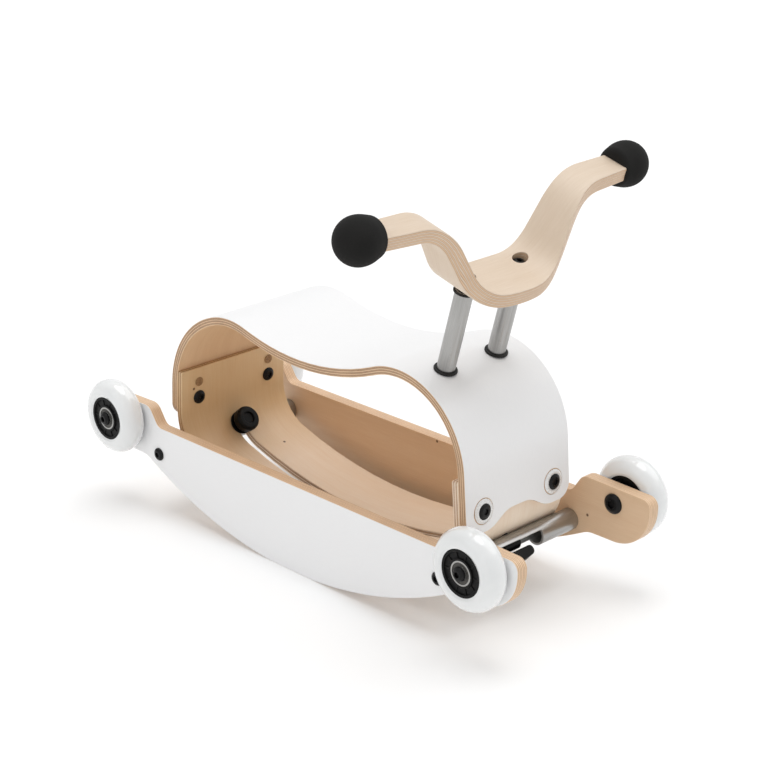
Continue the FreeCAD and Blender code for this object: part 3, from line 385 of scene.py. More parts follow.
def plyGroup(look):
    # the layers that a cut edge shows, from the depth in the board
    group, given, out = newGroup(
        "plyLayers",
        [("Place", "NodeSocketVector", None), ("Thickness", "NodeSocketFloat", 8.0),
         ("Plies", "NodeSocketFloat", 7.0), ("Face", "NodeSocketColor", None),
         ("EndGrain", "NodeSocketColor", None), ("Glue", "NodeSocketColor", None)],
        [("Color", "NodeSocketColor"), ("Height", "NodeSocketFloat")])
    place, plies = given.outputs["Place"], given.outputs["Plies"]
    wobble = noiseNode(group, place, *look["wobble"])
    depth = mathNode(group, "DIVIDE", partOf(group, place, "Z"), given.outputs["Thickness"])
    ply = mathNode(group, "MULTIPLY", depth, plies)
    ply = mathNode(group, "ADD", ply, rangeNode(group, wobble, *look["wobbleSpan"]))
    ply = mathNode(group, "MAXIMUM", ply, look["skin"])
    ply = mathNode(group, "MINIMUM", ply, mathNode(group, "SUBTRACT", plies, look["skin"]))
    nearest = mathNode(group, "ABSOLUTE", mathNode(group, "SUBTRACT", ply, mathNode(group, "ROUND", ply)))
    inner = mathNode(group, "MULTIPLY", mathNode(group, "GREATER_THAN", ply, 0.5),
                     mathNode(group, "LESS_THAN", ply, mathNode(group, "SUBTRACT", plies, 0.5)))
    line = mathNode(group, "MULTIPLY", rangeNode(group, nearest, *look["glueSpan"]), inner)
    odd = mathNode(group, "GREATER_THAN", mathNode(group, "MODULO", ply, 2.0), 1.0)
    speck = noiseNode(group, place, *look["speck"])
    crossing = mathNode(group, "MULTIPLY", odd, rangeNode(group, speck, *look["speckSpan"]))
    shade = mixedColor(group, crossing, given.outputs["Face"], given.outputs["EndGrain"])
    patchy = mathNode(group, "MULTIPLY", line, rangeNode(group, wobble, *look["gluePatches"]))
    wire(group, mixedColor(group, patchy, shade, given.outputs["Glue"]), out.inputs["Color"])
    sunk = mathNode(group, "MAXIMUM", line, mathNode(group, "MULTIPLY", crossing, look["crossSink"]))
    wire(group, mathNode(group, "SUBTRACT", 1.0, sunk), out.inputs["Height"])
    return group


birchGrain = woodGroup(grainLook)
plyLayers = plyGroup(plyLook)


def newMaterial(name, **sockets):
    material = bpy.data.materials.new(name)
    material.use_nodes = True
    tree = material.node_tree
    shader = tree.nodes["Principled BSDF"]
    for label, value in sockets.items():
        shader.inputs[label.replace("_", " ")].default_value = value
    return material, tree, shader


def bumped(tree, shader, height, strength, distance):
    bump = tree.nodes.new("ShaderNodeBump")
    bump.inputs["Strength"].default_value = strength
    bump.inputs["Distance"].default_value = distance
    wire(tree, height, bump.inputs["Height"])
    wire(tree, bump.outputs[0], shader.inputs["Normal"])


def flatPlaceOf(tree):
    place = tree.nodes.new("ShaderNodeAttribute")
    place.attribute_name = "flatPlace"
    return place.outputs["Vector"]


def groupNode(tree, group, place, **sockets):
    node = tree.nodes.new("ShaderNodeGroup")
    node.node_tree = group
    for label, value in sockets.items():
        node.inputs[label].default_value = value
    wire(tree, place, node.inputs["Place"])
    return node


boardLook = {
    "endGrain": linear(190, 148, 112), "glue": linear(120, 92, 74),
    "whiteHigh": linear(244, 244, 244), "whiteLow": linear(241, 241, 242), "faced": False,
    "coat": 0.1, "coatRoughness": 0.3, "bump": 0.35, "bumpDepth": 0.00012, "knots": 1.0,
    "woodRoughness": (0.3, 0.7, 0.42, 0.56), "whiteRoughness": (0.3, 0.7, 0.36, 0.44),
    # single dark specks, at their places in the flat board
    "pins": [], "pin": linear(92, 60, 38), "pinSpan": (0.9, 1.7, 0.95, 0),
    # painted shade laid over the start of the board, fading out along it
    "rearShade": None, "rearShadeSpan": (60, 135, 1, 0),
    "skin": (0.5, 0.35), "pebble": ((1, 1, 1), 1.4, 3, 0.55), "fibre": ((0.12, 2.2, 1.0), 1.0, 4, 0.6),
}


def boardMaterial(name, board):
    material, tree, shader = newMaterial(name, Coat_Weight=board["coat"],
                                         Coat_Roughness=board["coatRoughness"])
    place = flatPlaceOf(tree)
    grain = groupNode(tree, birchGrain, place, Light=board["light"], Dark=board["dark"],
                      Knots=board["knots"])
    layers = groupNode(tree, plyLayers, place, Thickness=board["thickness"], Plies=board["plies"],
                       EndGrain=board["endGrain"], Glue=board["glue"])
    wire(tree, grain.outputs["Color"], layers.inputs["Face"])
    color = layers.outputs["Color"]
    # painted shade: the start of the board is darkened where it stands in shade
    if board["rearShade"]:
        share = rangeNode(tree, partOf(tree, place, "X"), *board["rearShadeSpan"])
        color = mixedColor(tree, share, color, board["rearShade"], "MULTIPLY")
    for spot in board["pins"]:
        away = tree.nodes.new("ShaderNodeVectorMath")
        away.operation = "DISTANCE"
        wire(tree, place, away.inputs[0])
        away.inputs[1].default_value = spot
        share = rangeNode(tree, away.outputs["Value"], *board["pinSpan"])
        color = mixedColor(tree, share, color, board["pin"])
    roughness = rangeNode(tree, grain.outputs["Height"], *board["woodRoughness"])
    height = mathNode(tree, "ADD", mathNode(tree, "MULTIPLY", grain.outputs["Height"], 0.5),
                      layers.outputs["Height"])
    if board["faced"]:
        # the white film covers the top skin only
        low, high = (board["thickness"] - depth for depth in board["skin"])
        skin = rangeNode(tree, partOf(tree, place, "Z"), low, high)
        pebble = noiseNode(tree, place, *board["pebble"])
        fibre = rangeNode(tree, noiseNode(tree, place, *board["fibre"]), *noiseSpan)
        white = mixedColor(tree, fibre, board["whiteHigh"], board["whiteLow"])
        color = mixedColor(tree, skin, color, white)
        roughness = mixedValue(tree, skin, roughness, rangeNode(tree, pebble, *board["whiteRoughness"]))
        height = mixedValue(tree, skin, height, mathNode(tree, "MULTIPLY", pebble, 0.3))
    wire(tree, color, shader.inputs["Base Color"])
    wire(tree, roughness, shader.inputs["Roughness"])
    bumped(tree, shader, height, board["bump"], board["bumpDepth"])
    return material


# the saddle's white film is a little darker than the rockers', which keep boardLook's: painted light,
# brighter on the upright rocker sides
saddlePly = boardMaterial("saddlePly", dict(
    boardLook, thickness=8, plies=7, faced=True, light=linear(233, 203, 167), dark=linear(218, 182, 142),
    endGrain=linear(172, 127, 92), glue=linear(72, 55, 45),
    whiteHigh=linear(240, 240, 240), whiteLow=linear(236, 236, 237)))
rockerPly = boardMaterial("rockerPly", dict(
    boardLook, thickness=12, plies=7, faced=True, light=linear(229, 200, 168), dark=linear(215, 179, 142),
    endGrain=linear(230, 198, 164), glue=linear(156, 120, 90), pins=[(205.3, 67.4, 0), (21.4, 82.8, 0)]))
# the strap's wood is painted paler than the saddle's: painted light where light falls on the strap
strapPly = boardMaterial("strapPly", dict(
    boardLook, thickness=7, plies=5, light=linear(252, 238, 220), dark=linear(240, 218, 192),
    pins=[(107.5, 28.7, 7), (20.4, -49.7, 7)], rearShade=linear(228, 212, 182)))
barPly = boardMaterial("barPly", dict(
    boardLook, thickness=13, plies=11, knots=0.3, light=linear(223, 206, 187), dark=linear(206, 184, 159),
    endGrain=linear(216, 182, 146), glue=linear(166, 124, 90)))


speckLook = {"metallic": 0, "specular": 0.5, "coat": 0, "coatRoughness": 0.1, "subsurface": 0,
             "scatter": (0.004, 0.004, 0.004), "cloudScale": 40}


def speckledMaterial(name, look):
    # moulded plastic, rubber and foam: one colour with a fine mottle and a pebbled surface
    look = {**speckLook, **look}
    material, tree, shader = newMaterial(
        name, Metallic=look["metallic"], Specular_IOR_Level=look["specular"], Coat_Weight=look["coat"],
        Coat_Roughness=look["coatRoughness"], Subsurface_Weight=look["subsurface"],
        Subsurface_Radius=look["scatter"])
    place = tree.nodes.new("ShaderNodeTexCoord").outputs["Object"]
    grit = noiseNode(tree, place, (1, 1, 1), look["gritScale"], 4, 0.6)
    cloud = noiseNode(tree, place, (1, 1, 1), look["cloudScale"], 2, 0.5)
    tone = mathNode(tree, "MULTIPLY", rangeNode(tree, grit, *noiseSpan), 0.6)
    tone = mathNode(tree, "ADD", tone, rangeNode(tree, cloud, *noiseSpan, 0, 0.4), clamp=True)
    wire(tree, mixedColor(tree, tone, look["color"], look["spot"]), shader.inputs["Base Color"])
    wire(tree, rangeNode(tree, grit, *noiseSpan, *look["roughness"]), shader.inputs["Roughness"])
    bumped(tree, shader, grit, look["bump"], look["bumpDepth"])
    return material


blackFoam = speckledMaterial("blackFoam", {
    "color": linear(14, 14, 13), "spot": linear(32, 31, 30), "gritScale": 900,
    "roughness": (0.8, 0.95), "specular": 0.25, "bump": 0.5, "bumpDepth": 0.0003})
blackNylon = speckledMaterial("blackNylon", {
    "color": linear(4, 4, 4), "spot": linear(10, 10, 10), "gritScale": 1400,
    "roughness": (0.38, 0.52), "specular": 0.16, "bump": 0.25, "bumpDepth": 0.0001})
blackRubber = speckledMaterial("blackRubber", {
    "color": linear(12, 12, 11), "spot": linear(26, 25, 23), "gritScale": 900,
    "roughness": (0.5, 0.66), "specular": 0.3, "bump": 0.2, "bumpDepth": 0.0001})
blackOxide = speckledMaterial("blackOxide", {
    "color": linear(12, 12, 12), "spot": linear(26, 26, 27), "gritScale": 700,
    "roughness": (0.3, 0.44), "metallic": 0.4, "specular": 0.3, "bump": 0.15, "bumpDepth": 0.00005})
whiteTyre = speckledMaterial("whiteTyre", {
    "color": linear(235, 236, 236), "spot": linear(230, 232, 232), "gritScale": 120,
    "roughness": (0.1, 0.16), "coat": 0.8, "coatRoughness": 0.03, "subsurface": 0.12,
    "bump": 0.03, "bumpDepth": 0.0002})
bearingSeal = speckledMaterial("bearingSeal", {
    "color": linear(92, 90, 86), "spot": linear(64, 62, 60), "gritScale": 900,
    "roughness": (0.4, 0.55), "metallic": 0.2, "specular": 0.3, "bump": 0.1, "bumpDepth": 0.00005})
boreAluminium = speckledMaterial("boreAluminium", {
    "color": linear(168, 167, 165), "spot": linear(146, 145, 143), "gritScale": 500,
    "roughness": (0.5, 0.65), "metallic": 0.3, "bump": 0.1, "bumpDepth": 0.00005})
whiteCup = speckledMaterial("whiteCup", {
    "color": linear(232, 232, 231), "spot": linear(220, 220, 219), "gritScale": 500,
    "roughness": (0.22, 0.34), "metallic": 0.25, "bump": 0.08, "bumpDepth": 0.00005})
brownInsert = speckledMaterial("brownInsert", {
    "color": linear(164, 130, 94), "spot": linear(142, 110, 76), "gritScale": 500,
    "roughness": (0.5, 0.65), "specular": 0.3, "bump": 0.3, "bumpDepth": 0.0001})


def brushedMaterial(name, look):
    # drawn metal: fine streaks along one direction
    material, tree, shader = newMaterial(name, Metallic=1.0)
    if look["drawn"]:
        place = flatPlaceOf(tree)
    else:
        place = tree.nodes.new("ShaderNodeTexCoord").outputs["Object"]
    streaks = noiseNode(tree, place, look["stretch"], 1.0, 5, 0.65)
    cloud = noiseNode(tree, place, look["cloud"], 1.0, 2, 0.5)
    tone = mathNode(tree, "ADD", rangeNode(tree, streaks, *noiseSpan, 0, 0.7),
                    rangeNode(tree, cloud, *noiseSpan, 0, 0.3))
    wire(tree, mixedColor(tree, tone, look["color"], look["spot"]), shader.inputs["Base Color"])
    wire(tree, rangeNode(tree, streaks, *noiseSpan, *look["roughness"]), shader.inputs["Roughness"])
    bumped(tree, shader, streaks, look["bump"], look["bumpDepth"])
    return material


satinAluminium = brushedMaterial("satinAluminium", {
    "color": linear(180, 179, 177), "spot": linear(152, 151, 149), "drawn": True,
    "roughness": (0.26, 0.4), "stretch": (2.6, 2.6, 0.03), "cloud": (0.03, 0.03, 0.03),
    "bump": 0.12, "bumpDepth": 0.00004})
bearingSteel = brushedMaterial("bearingSteel", {
    "color": linear(176, 175, 172), "spot": linear(150, 149, 147), "drawn": False,
    "roughness": (0.16, 0.26), "stretch": (900, 900, 900), "cloud": (30, 30, 30),
    "bump": 0.12, "bumpDepth": 0.00004})


# camera, floor and light

view = {"azimuth": 46.02, "elevation": 21.12, "roll": -0.45, "distance": 1.7924, "lens": 94.471875,
        "sensor": 36, "target": (0.03066, 0.0, 0.16362)}


def placeCamera():
    azimuth, elevation = math.radians(view["azimuth"]), math.radians(view["elevation"])
    back = Vector((math.sin(azimuth) * math.cos(elevation), -math.cos(azimuth) * math.cos(elevation),
                   math.sin(elevation)))
    right = up.cross(back).normalized()
    turn = Matrix((right, back.cross(right), back)).transposed()
    camera = intoScene("camera", bpy.data.cameras.new("camera"))
    camera.data.sensor_width = view["sensor"]
    camera.data.lens = view["lens"]
    camera.matrix_world = (Matrix.Translation(Vector(view["target"]) + back * view["distance"])
                           @ turn.to_4x4() @ Matrix.Rotation(math.radians(view["roll"]), 4, "Z"))
    bpy.context.scene.camera = camera


# glow whitens the floor that is seen, sky lights the object, and mirrored is the sky in shiny metal
stage = {"size": 6, "floor": 0.99, "floorRoughness": 0.9, "floorSpecular": 0.1, "glow": 0.24, "sky": 0.53,
         "mirrored": 0.8}
lamps = {  # azimuth (0 stands at +X and 90 at +Y), elevation, spread, strength
    "overhead": (180, 84, 42, 0.34), "backFill": (70, 58, 60, 0.29), "frontFill": (-92, 20, 60, 0.09)}


def seenRays(tree):
    # 1 for what the camera sees, also in metal and through glass
    path = tree.nodes.new("ShaderNodeLightPath")
    rays = mathNode(tree, "ADD", path.outputs["Is Camera Ray"], path.outputs["Is Glossy Ray"])
    return mathNode(tree, "ADD", rays, path.outputs["Is Transmission Ray"], clamp=True)


def mixedShader(tree, factor, one, other, output):
    mix = tree.nodes.new("ShaderNodeMixShader")
    for source, socket in zip((factor, one.outputs[0], other.outputs[0]), mix.inputs):
        wire(tree, source, socket)
    wire(tree, mix.outputs[0], tree.nodes[output].inputs["Surface"])


def makeFloor():
    bm = bmesh.new()
    bmesh.ops.create_grid(bm, x_segments=1, y_segments=1, size=stage["size"])
    floor = intoScene("floor", meshOf(bm, "floor"))
    tone = stage["floor"]
    material, tree, shader = newMaterial(
        "paleFloor", Base_Color=(tone, tone, tone, 1), Roughness=stage["floorRoughness"],
        Specular_IOR_Level=stage["floorSpecular"])
    glow = tree.nodes.new("ShaderNodeEmission")
    glow.inputs["Strength"].default_value = 1.0
    share = mathNode(tree, "MULTIPLY", seenRays(tree), stage["glow"])
    mixedShader(tree, share, shader, glow, "Material Output")
    floor.data.materials.append(material)


def makeSky():
    world = bpy.data.worlds.new("studio")
    bpy.context.scene.world = world
    world.use_nodes = True
    tree = world.node_tree
    soft = tree.nodes["Background"]
    bright = tree.nodes.new("ShaderNodeBackground")
    for light in (soft, bright):
        light.inputs["Color"].default_value = (1, 1, 1, 1)
    soft.inputs["Strength"].default_value = stage["sky"]
    straight = tree.nodes.new("ShaderNodeLightPath").outputs["Is Camera Ray"]
    wire(tree, rangeNode(tree, straight, 0, 1, stage["mirrored"], 1), bright.inputs["Strength"])
    mixedShader(tree, seenRays(tree), soft, bright, "World Output")


def addLamp(name, azimuth, elevation, spread, strength):
    # a broad far lamp
    lamp = bpy.data.lights.new(name, "SUN")
    lamp.angle = math.radians(spread)
    lamp.energy = strength * math.pi
    azimuth, elevation = math.radians(azimuth), math.radians(elevation)
    away = Vector((math.cos(azimuth) * math.cos(elevation), math.sin(azimuth) * math.cos(elevation),
                   math.sin(elevation)))
    intoScene(name, lamp).rotation_euler = (-away).to_track_quat("-Z", "Y").to_euler()


placeCamera()
makeFloor()
makeSky()
for lampName, values in lamps.items():
    addLamp(lampName, *values)
bpy.context.scene.view_settings.view_transform = "Standard"
print("stage ready")


# plywood pieces

# the lines of bent boards are (x, z, round) along their top skin
saddle = {
    "line": [(-195, 87.5, 0), (-189.4, 179, 92), (-110, 211.3, 76), (5, 180.3, 246), (184.92, 252.3, 79),
             (195, 87.5, 0)],
    "thickness": 8, "rim": 0.7, "foot": [(64.5, 0, 14), (34, 0, 28), (14, 12, 28)],
    "boltRise": 19.035, "groove": (10.8, 11.8), "grooveDepth": 0.7,
}
strap = {
    "line": [(-177.02, 135.7, 0), (-181.47, 62.96, 42), (0, 1.36, 470), (181.47, 62.96, 42),
             (177.02, 135.7, 0)],
    "thickness": 7, "rim": 0.7, "corner": 2, "slotWidth": 10.4, "slotRound": 5, "slotHeight": 64,
}
rocker = {
    "radius": 430, "flat": 28, "underside": 26, "earBase": 51.5, "rim": 1.0,
    "ear": [(273.5, 51.5, 39), (273.5, 101.5, 9), (198.5, 103.5, 12), (186, 85, 9)],
}


def makeSaddle():
    path = pathOf(saddle["line"])
    length = path[2][-1]
    foot = [(rise, y, r) for y, rise, r in saddle["foot"]]
    foot += [(x, -y, r) for x, y, r in reversed(foot)]
    outline = foot + [(length - x, y, r) for x, y, r in reversed(foot)]
    thick, (inside, outside) = saddle["thickness"], saddle["groove"]
    depth = saddle["grooveDepth"]
    ring = lathed([(inside, -depth, 0), (outside, -depth, 0), (outside, depth, 0), (inside, depth, 0)])
    rise, half = saddle["boltRise"], horse["legBoltHalf"]
    rings = copies(ring, [Matrix.Translation((x, side * half, thick))
                          for x in (rise, length - rise) for side in ends])
    bm = carved(plate(outline, thick, rim=saddle["rim"]), rings)
    bm = bentAlong(bm, path, thick)
    finishPiece("saddleBoard", bm, saddlePly, node="saddle_shell")


def makeStrap():
    path = pathOf(strap["line"])
    spots, _, lengths = path
    half, corner, thick = horse["saddleWidth"] / 2, strap["corner"], strap["thickness"]
    outline = [(0, half, corner), (0, -half, corner), (lengths[-1], -half, corner),
               (lengths[-1], half, corner)]
    bm = plate(outline, thick, rim=strap["rim"])
    # the slot runs where the strap dips below this height
    start = next(length for spot, length in zip(spots, lengths) if spot.y < strap["slotHeight"])
    end, half, corner = lengths[-1] - start, strap["slotWidth"] / 2, strap["slotRound"]
    outline = [(start, half, corner), (start, -half, corner), (end, -half, corner), (end, half, corner)]
    slot = plate(outline, 3 * thick, rim=0.1)
    bm = carved(bm, placed(slot, Matrix.Translation((0, 0, -thick))))
    bm = bentAlong(bm, path, thick)
    finishPiece("strapBoard", bm, strapPly, node="under_strap")


def rockerOutline():
    # the round edge and the hollow under the ear are spun, and meet where they touch
    radius, flat, hollow = rocker["radius"], rocker["flat"], rocker["underside"]
    centreHeight = math.sqrt(radius ** 2 - flat ** 2)
    hollowHeight = rocker["earBase"] - hollow
    hollowX = math.sqrt((radius + hollow) ** 2 - (centreHeight - hollowHeight) ** 2)
    share = radius / (radius + hollow)
    touch = Vector((hollowX * share, centreHeight + (hollowHeight - centreHeight) * share, 0))
    bm = bmesh.new()
    tip = bm.verts.new((flat, 0, 0))
    turn = math.asin(touch.x / radius) - math.asin(flat / radius)
    bmesh.ops.spin(bm, geom=[tip], cent=(0, centreHeight, 0), axis=up, angle=turn, steps=24)
    bm.verts.ensure_lookup_table()
    bmesh.ops.spin(bm, geom=[bm.verts[-1]], cent=(hollowX, hollowHeight, 0), axis=-up,
                   angle=math.atan2(hollowX - touch.x, touch.y - hollowHeight), steps=8)
    half = [(v.co.x, v.co.y, 0) for v in bm.verts] + rocker["ear"]
    bm.free()
    return half + [(-x, z, r) for x, z, r in reversed(half)]


def makeRockers():
    inner = horse["railFace"] - horse["railThickness"]
    for name, side in leftRight:
        bm = plate(rockerOutline(), horse["railThickness"], rim=rocker["rim"])
        keepFlatPlace(bm)
        stand = Matrix(((1, 0, 0, 0), (0, 0, side, side * inner), (0, 1, 0, 0), (0, 0, 0, 1)))
        bm = placed(bm, stand)
        bmesh.ops.recalc_face_normals(bm, faces=bm.faces)
        finishPiece("rocker" + name, bm, rockerPly)


makeSaddle()
makeStrap()
makeRockers()
print("boards bent")


# handlebar

bar = {
    "thickness": 13, "rim": 1.4, "recess": 13.4, "recessDepth": 4.5, "drillDepth": 40,
    "front": [(41.3, 13, 38), (78.8, 76.8, 48), (164, 77.6, 0)],  # (y, z, round) of the top skin
    # (x, y, round) of the front and back edges, seen from above
    "plan": [(1.5, 164, 0), (8, 84, 70), (38, 26, 100)],
    "planBack": [(-17, 36, 100), (-23, 88, 150), (-23.5, 164, 0)],
}


def barPlace():
    lean = math.radians(horse["postLean"])
    x, z = horse["postFoot"]
    lift = horse["barLift"]
    spot = (x + lift * math.sin(lean), 0, z + lift * math.cos(lean))
    return Matrix.Translation(spot) @ Matrix.Rotation(lean, 4, "Y")


def heightAt(spots, y):
    i = runAt([spot.x for spot in spots], y)
    one, other = spots[i], spots[i + 1]
    return one.y + (other.y - one.y) * (y - one.x) / (other.x - one.x)


def makeHandlebar():
    half, plan, back, thick = bar["front"], bar["plan"], bar["planBack"], bar["thickness"]
    spots, sides, lengths = pathOf([(-y, z, r) for y, z, r in reversed(half)] + half)
    under = [spot - side * thick for spot, side in zip(spots, sides)]
    outline = plan + [(x, -y, r) for x, y, r in reversed(plan)]
    outline += [(x, -y, r) for x, y, r in reversed(back)] + back
    bm = plate(outline, thick, rim=bar["rim"])
    cutAt(bm, sorted(set(round(s.x, 3) for s in spots[1:-1] + under[1:-1])), (0, 1, 0))
    for vert in bm.verts:
        low, high = heightAt(under, vert.co.y), heightAt(spots, vert.co.y)
        vert.co.z = low + (high - low) * vert.co.z / thick
    recesses = []
    radius, top = bar["recess"] / 2, bar["drillDepth"]
    for side in ends:
        drill = lathed([(0, 0, 0), (radius, 0, 0), (radius, top, 0), (0, top, 0)], closed=False)
        spot = (0, side * horse["postSpread"] / 2, thick - bar["recessDepth"])
        recesses.append(placed(drill, Matrix.Translation(spot)))
    bm = carved(bm, *recesses)
    # the flat place of a point: along the bar, across it and up from its underside
    layer = bm.verts.layers.float_vector.new("flatPlace")
    for vert in bm.verts:
        x, y, z = vert.co
        low, high = heightAt(under, y), heightAt(spots, y)
        i = runAt([spot.x for spot in spots], y)
        along = lengths[i] + (Vector((y, z, 0)) - spots[i]).length
        vert[layer] = (along, x, (z - low) / (high - low) * thick)
    finishPiece("gullBar", placed(bm, barPlace()), barPly, node="handlebar")


makeHandlebar()
print("handlebar bent")


# posts, collars and bolts

bolts = {  # head width, head height, shank, length
    "axle": (13, 4, 8, 34), "axleNut": (18.5, 3.5, 12, 14), "tube": (12.5, 3, 6, 30),
    "leg": (14, 2.6, 5, 15.4), "barrelNut": (13.4, 2.5, 8, 15), "bar": (12.4, 4, 7.8, 34),
    "clamp": (14, 2.6, 8, 20.2),
}
screwHead = {"side": 0.5, "flat": 0.32, "flatRound": 0.4, "socket": (0.2, 0.235)}  # shares of a head
axleHeadOut = 11.3  # from the middle of a wheel
post = {
    "radius": 8, "bore": 4, "below": 14, "fit": 0.05, "footCollar": 10.4, "footCollarHeight": 2.5,
    "headCollar": 9.6, "headCollarHeight": 2, "anchor": 12, "anchorHeight": 4,
}
cup = {"floor": 0.4, "line": [(2.7, 0, 0), (11, 0, 0.15), (11, 0.5, 0.3), (9, 1.6, 0.8), (7.2, 1.6, 0.2),
                              (7.2, 0.4, 0), (2.7, 0.4, 0)]}
insert = {
    "x": -177.87, "height": 121.5, "slope": 4.39, "holeTurns": (60, 180, 300), "hole": 0.6,
    "holeDepth": 4, "holeOut": 1.7, "holeLift": 1.4,
    "line": [(0, -6, 0), (4, -6, 0.3), (4, 0.3, 0), (4.5, 0.3, 0.1), (4.5, 0.9, 0.3), (0, 1, 0)],
}


def alongY(x, y, z, side):
    # a place whose own Z points outward along Y
    return Matrix.Translation((x, y, z)) @ Matrix.Rotation(math.radians(-90 * side), 4, "X")


def postPlace(side, start):
    x, z = horse["postFoot"]
    return (Matrix.Translation((x, side * horse["postSpread"] / 2, z))
            @ Matrix.Rotation(math.radians(horse["postLean"]), 4, "Y")
            @ Matrix.Translation((0, 0, start)))


def legPlace(end, side, depth, way=1):
    # this deep under the leg's outer face, looking outwards, or inwards where way is -1
    lean, height = math.radians(horse["legLean"]), horse["legBoltHeight"]
    outward = Vector((end * math.cos(lean), 0, math.sin(lean)))
    reach = horse["saddleReach"] - math.tan(lean) * (height - horse["axleHeight"])
    face = Vector((end * reach, side * horse["legBoltHalf"], height))
    return facing(*(face - outward * depth), outward * way)


def buttonBolt(head, height, shank, length):
    # a domed socket screw: the underside of its head is at z 0
    side, flat = height * screwHead["side"], head * screwHead["flat"]
    bm = lathed([(0, -length, 0), (shank / 2, -length, 0.4), (shank / 2, 0, 0), (head / 2, 0, 0.3),
                 (head / 2, side, side), (flat, height, height * screwHead["flatRound"]), (0, height, 0)],
                segments=48, closed=False)
    low, high = screwHead["socket"]
    hexagon = bmesh.new()
    bmesh.ops.create_cone(hexagon, segments=6, cap_ends=True, radius1=head * low, radius2=head * high,
                          depth=height)
    return carved(bm, placed(hexagon, Matrix.Translation((0, 0, height))))


def makePosts():
    bore, radius, bottom, top = post["bore"], post["radius"], -post["below"], horse["barLift"]
    for name, side in leftRight:
        bm = lathed([(bore, bottom, 0.5), (radius, bottom, 0.8), (radius, top, 0.8), (bore, top, 0.5)])
        keepFlatPlace(bm)
        finishPiece("post" + name, placed(bm, postPlace(side, 0)), satinAluminium)
    radius += post["fit"]
    wide, high = post["footCollar"], post["footCollarHeight"]
    bm = lathed([(radius, 0.2, 0.2), (wide, 0.2, 0.5), (wide, high - 0.7, 0.9), (radius + 1.1, high, 0.4),
                 (radius, high, 0.2)])
    finishPiece("footCollars", copies(bm, [postPlace(side, 0) for side in ends]), blackRubber)
    wide, high = post["headCollar"], post["headCollarHeight"]
    bm = lathed([(radius, 0, 0.2), (wide, 0, 0.6), (wide, high, 0.6), (radius, high, 0.2)])
    finishPiece("headCollars", copies(bm, [postPlace(side, top - high) for side in ends]), blackRubber)
    wide, high = post["anchor"], post["anchorHeight"]
    bm = lathed([(radius, 0, 0.3), (wide, 0, 0.8), (wide, high, 0.8), (radius, high, 0.3)])
    finishPiece("postAnchors", copies(bm, [postPlace(side, bottom) for side in ends]), bearingSteel)


def fasten(name, kind, places):
    finishPiece(name, copies(buttonBolt(*bolts[kind]), places), blackOxide)


def makeBolts():
    corners = [(end, side) for end in ends for side in ends]
    face, inner = horse["railFace"], horse["railFace"] - horse["railThickness"]
    x, z, head = horse["axleX"], horse["axleHeight"], horse["wheelY"] + axleHeadOut
    fasten("axleBolts", "axle", [alongY(end * x, side * head, z, side) for end, side in corners])
    fasten("axleNuts", "axleNut", [alongY(end * x, side * inner, z, -side) for end, side in corners])
    x, z = horse["tubeX"], horse["tubeZ"]
    fasten("tubeBolts", "tube", [alongY(end * x, side * face, z, side) for end, side in corners])
    cups = copies(lathed(cup["line"]), [legPlace(end, side, 0) for end, side in corners])
    finishPiece("cupWashers", cups, whiteCup)
    fasten("legBolts", "leg", [legPlace(end, side, -cup["floor"]) for end, side in corners])
    through = saddle["thickness"] + strap["thickness"]
    fasten("barrelNuts", "barrelNut", [legPlace(end, side, through, -1) for end, side in corners])
    lift = horse["barLift"] + bar["thickness"] - bar["recessDepth"]
    fasten("barBolts", "bar", [postPlace(side, lift) for side in ends])


def makeInserts():
    bm = lathed(insert["line"], closed=False)
    radius, deep = insert["hole"], insert["holeDepth"]
    drills = []
    for turn in insert["holeTurns"]:
        drill = bmesh.new()
        bmesh.ops.create_cone(drill, segments=20, cap_ends=True, radius1=radius, radius2=radius,
                              depth=deep)
        out = Matrix.Translation((insert["holeOut"], 0, insert["holeLift"]))
        drills.append(placed(drill, Matrix.Rotation(math.radians(turn), 4, "Z") @ out))
    slope = math.radians(insert["slope"])
    inward = Vector((math.cos(slope), 0, -math.sin(slope)))
    places = [facing(insert["x"], side * horse["legBoltHalf"], insert["height"], inward) for side in ends]
    finishPiece("spareInserts", copies(carved(bm, *drills), places), brownInsert)


makePosts()
makeBolts()
makeInserts()
print("posts and bolts placed")


# grips

# place is in the bar's own frame; the bar enters at the mouth
grip = {"radius": 20.3, "place": (-11, 158.2, 71.05), "waist": (4, 25), "mouth": (16.3, 17.5, 5)}


def makeGrips():
    radius, mouth = grip["radius"], grip["mouth"]
    egg = [(0, -radius, 0), (radius, -radius, radius), (radius, *grip["waist"]), mouth, (0, mouth[1], 0)]
    x, y, z = grip["place"]
    for name, side in leftRight:
        bm = lathed(egg, stepAngle=6, closed=False)
        place = barPlace() @ alongY(x, side * y, z, -side)
        finishPiece("grip" + name, placed(bm, place), blackFoam)


makeGrips()
print("grips done")


# wheels

wheel = {
    "bore": 4, "seat": 11, "seatHalf": 4, "stop": 9.5, "race": 9.4, "innerRace": 6.3, "sealDepth": 0.7,
    "hub": 21, "half": 11, "ribs": 10, "rib": (5.6, 1.1, 0.9), "ribOut": 15.6, "ribDepth": 1.25,
    # (radius, depth, round) of the ring sunk into both faces of the hub
    "hollow": [(12.8, 0, 0.3), (13.1, 1.5, 0.3), (18, 1.5, 0.4), (18.5, 0, 0.3)],
    "tyre": 36, "tyreHalf": 12, "crown": 11.5, "lip": 2.2,
}


def tyreShape():
    hub, half, wide, outer = wheel["hub"], wheel["half"], wheel["tyreHalf"], wheel["tyre"]
    lip, crown = hub + wheel["lip"], wheel["crown"]
    return lathed([(hub, -half, 0), (lip, -wide, 1), (outer, -wide, crown), (outer, wide, crown),
                   (lip, wide, 1), (hub, half, 0)], segments=128, stepAngle=6)


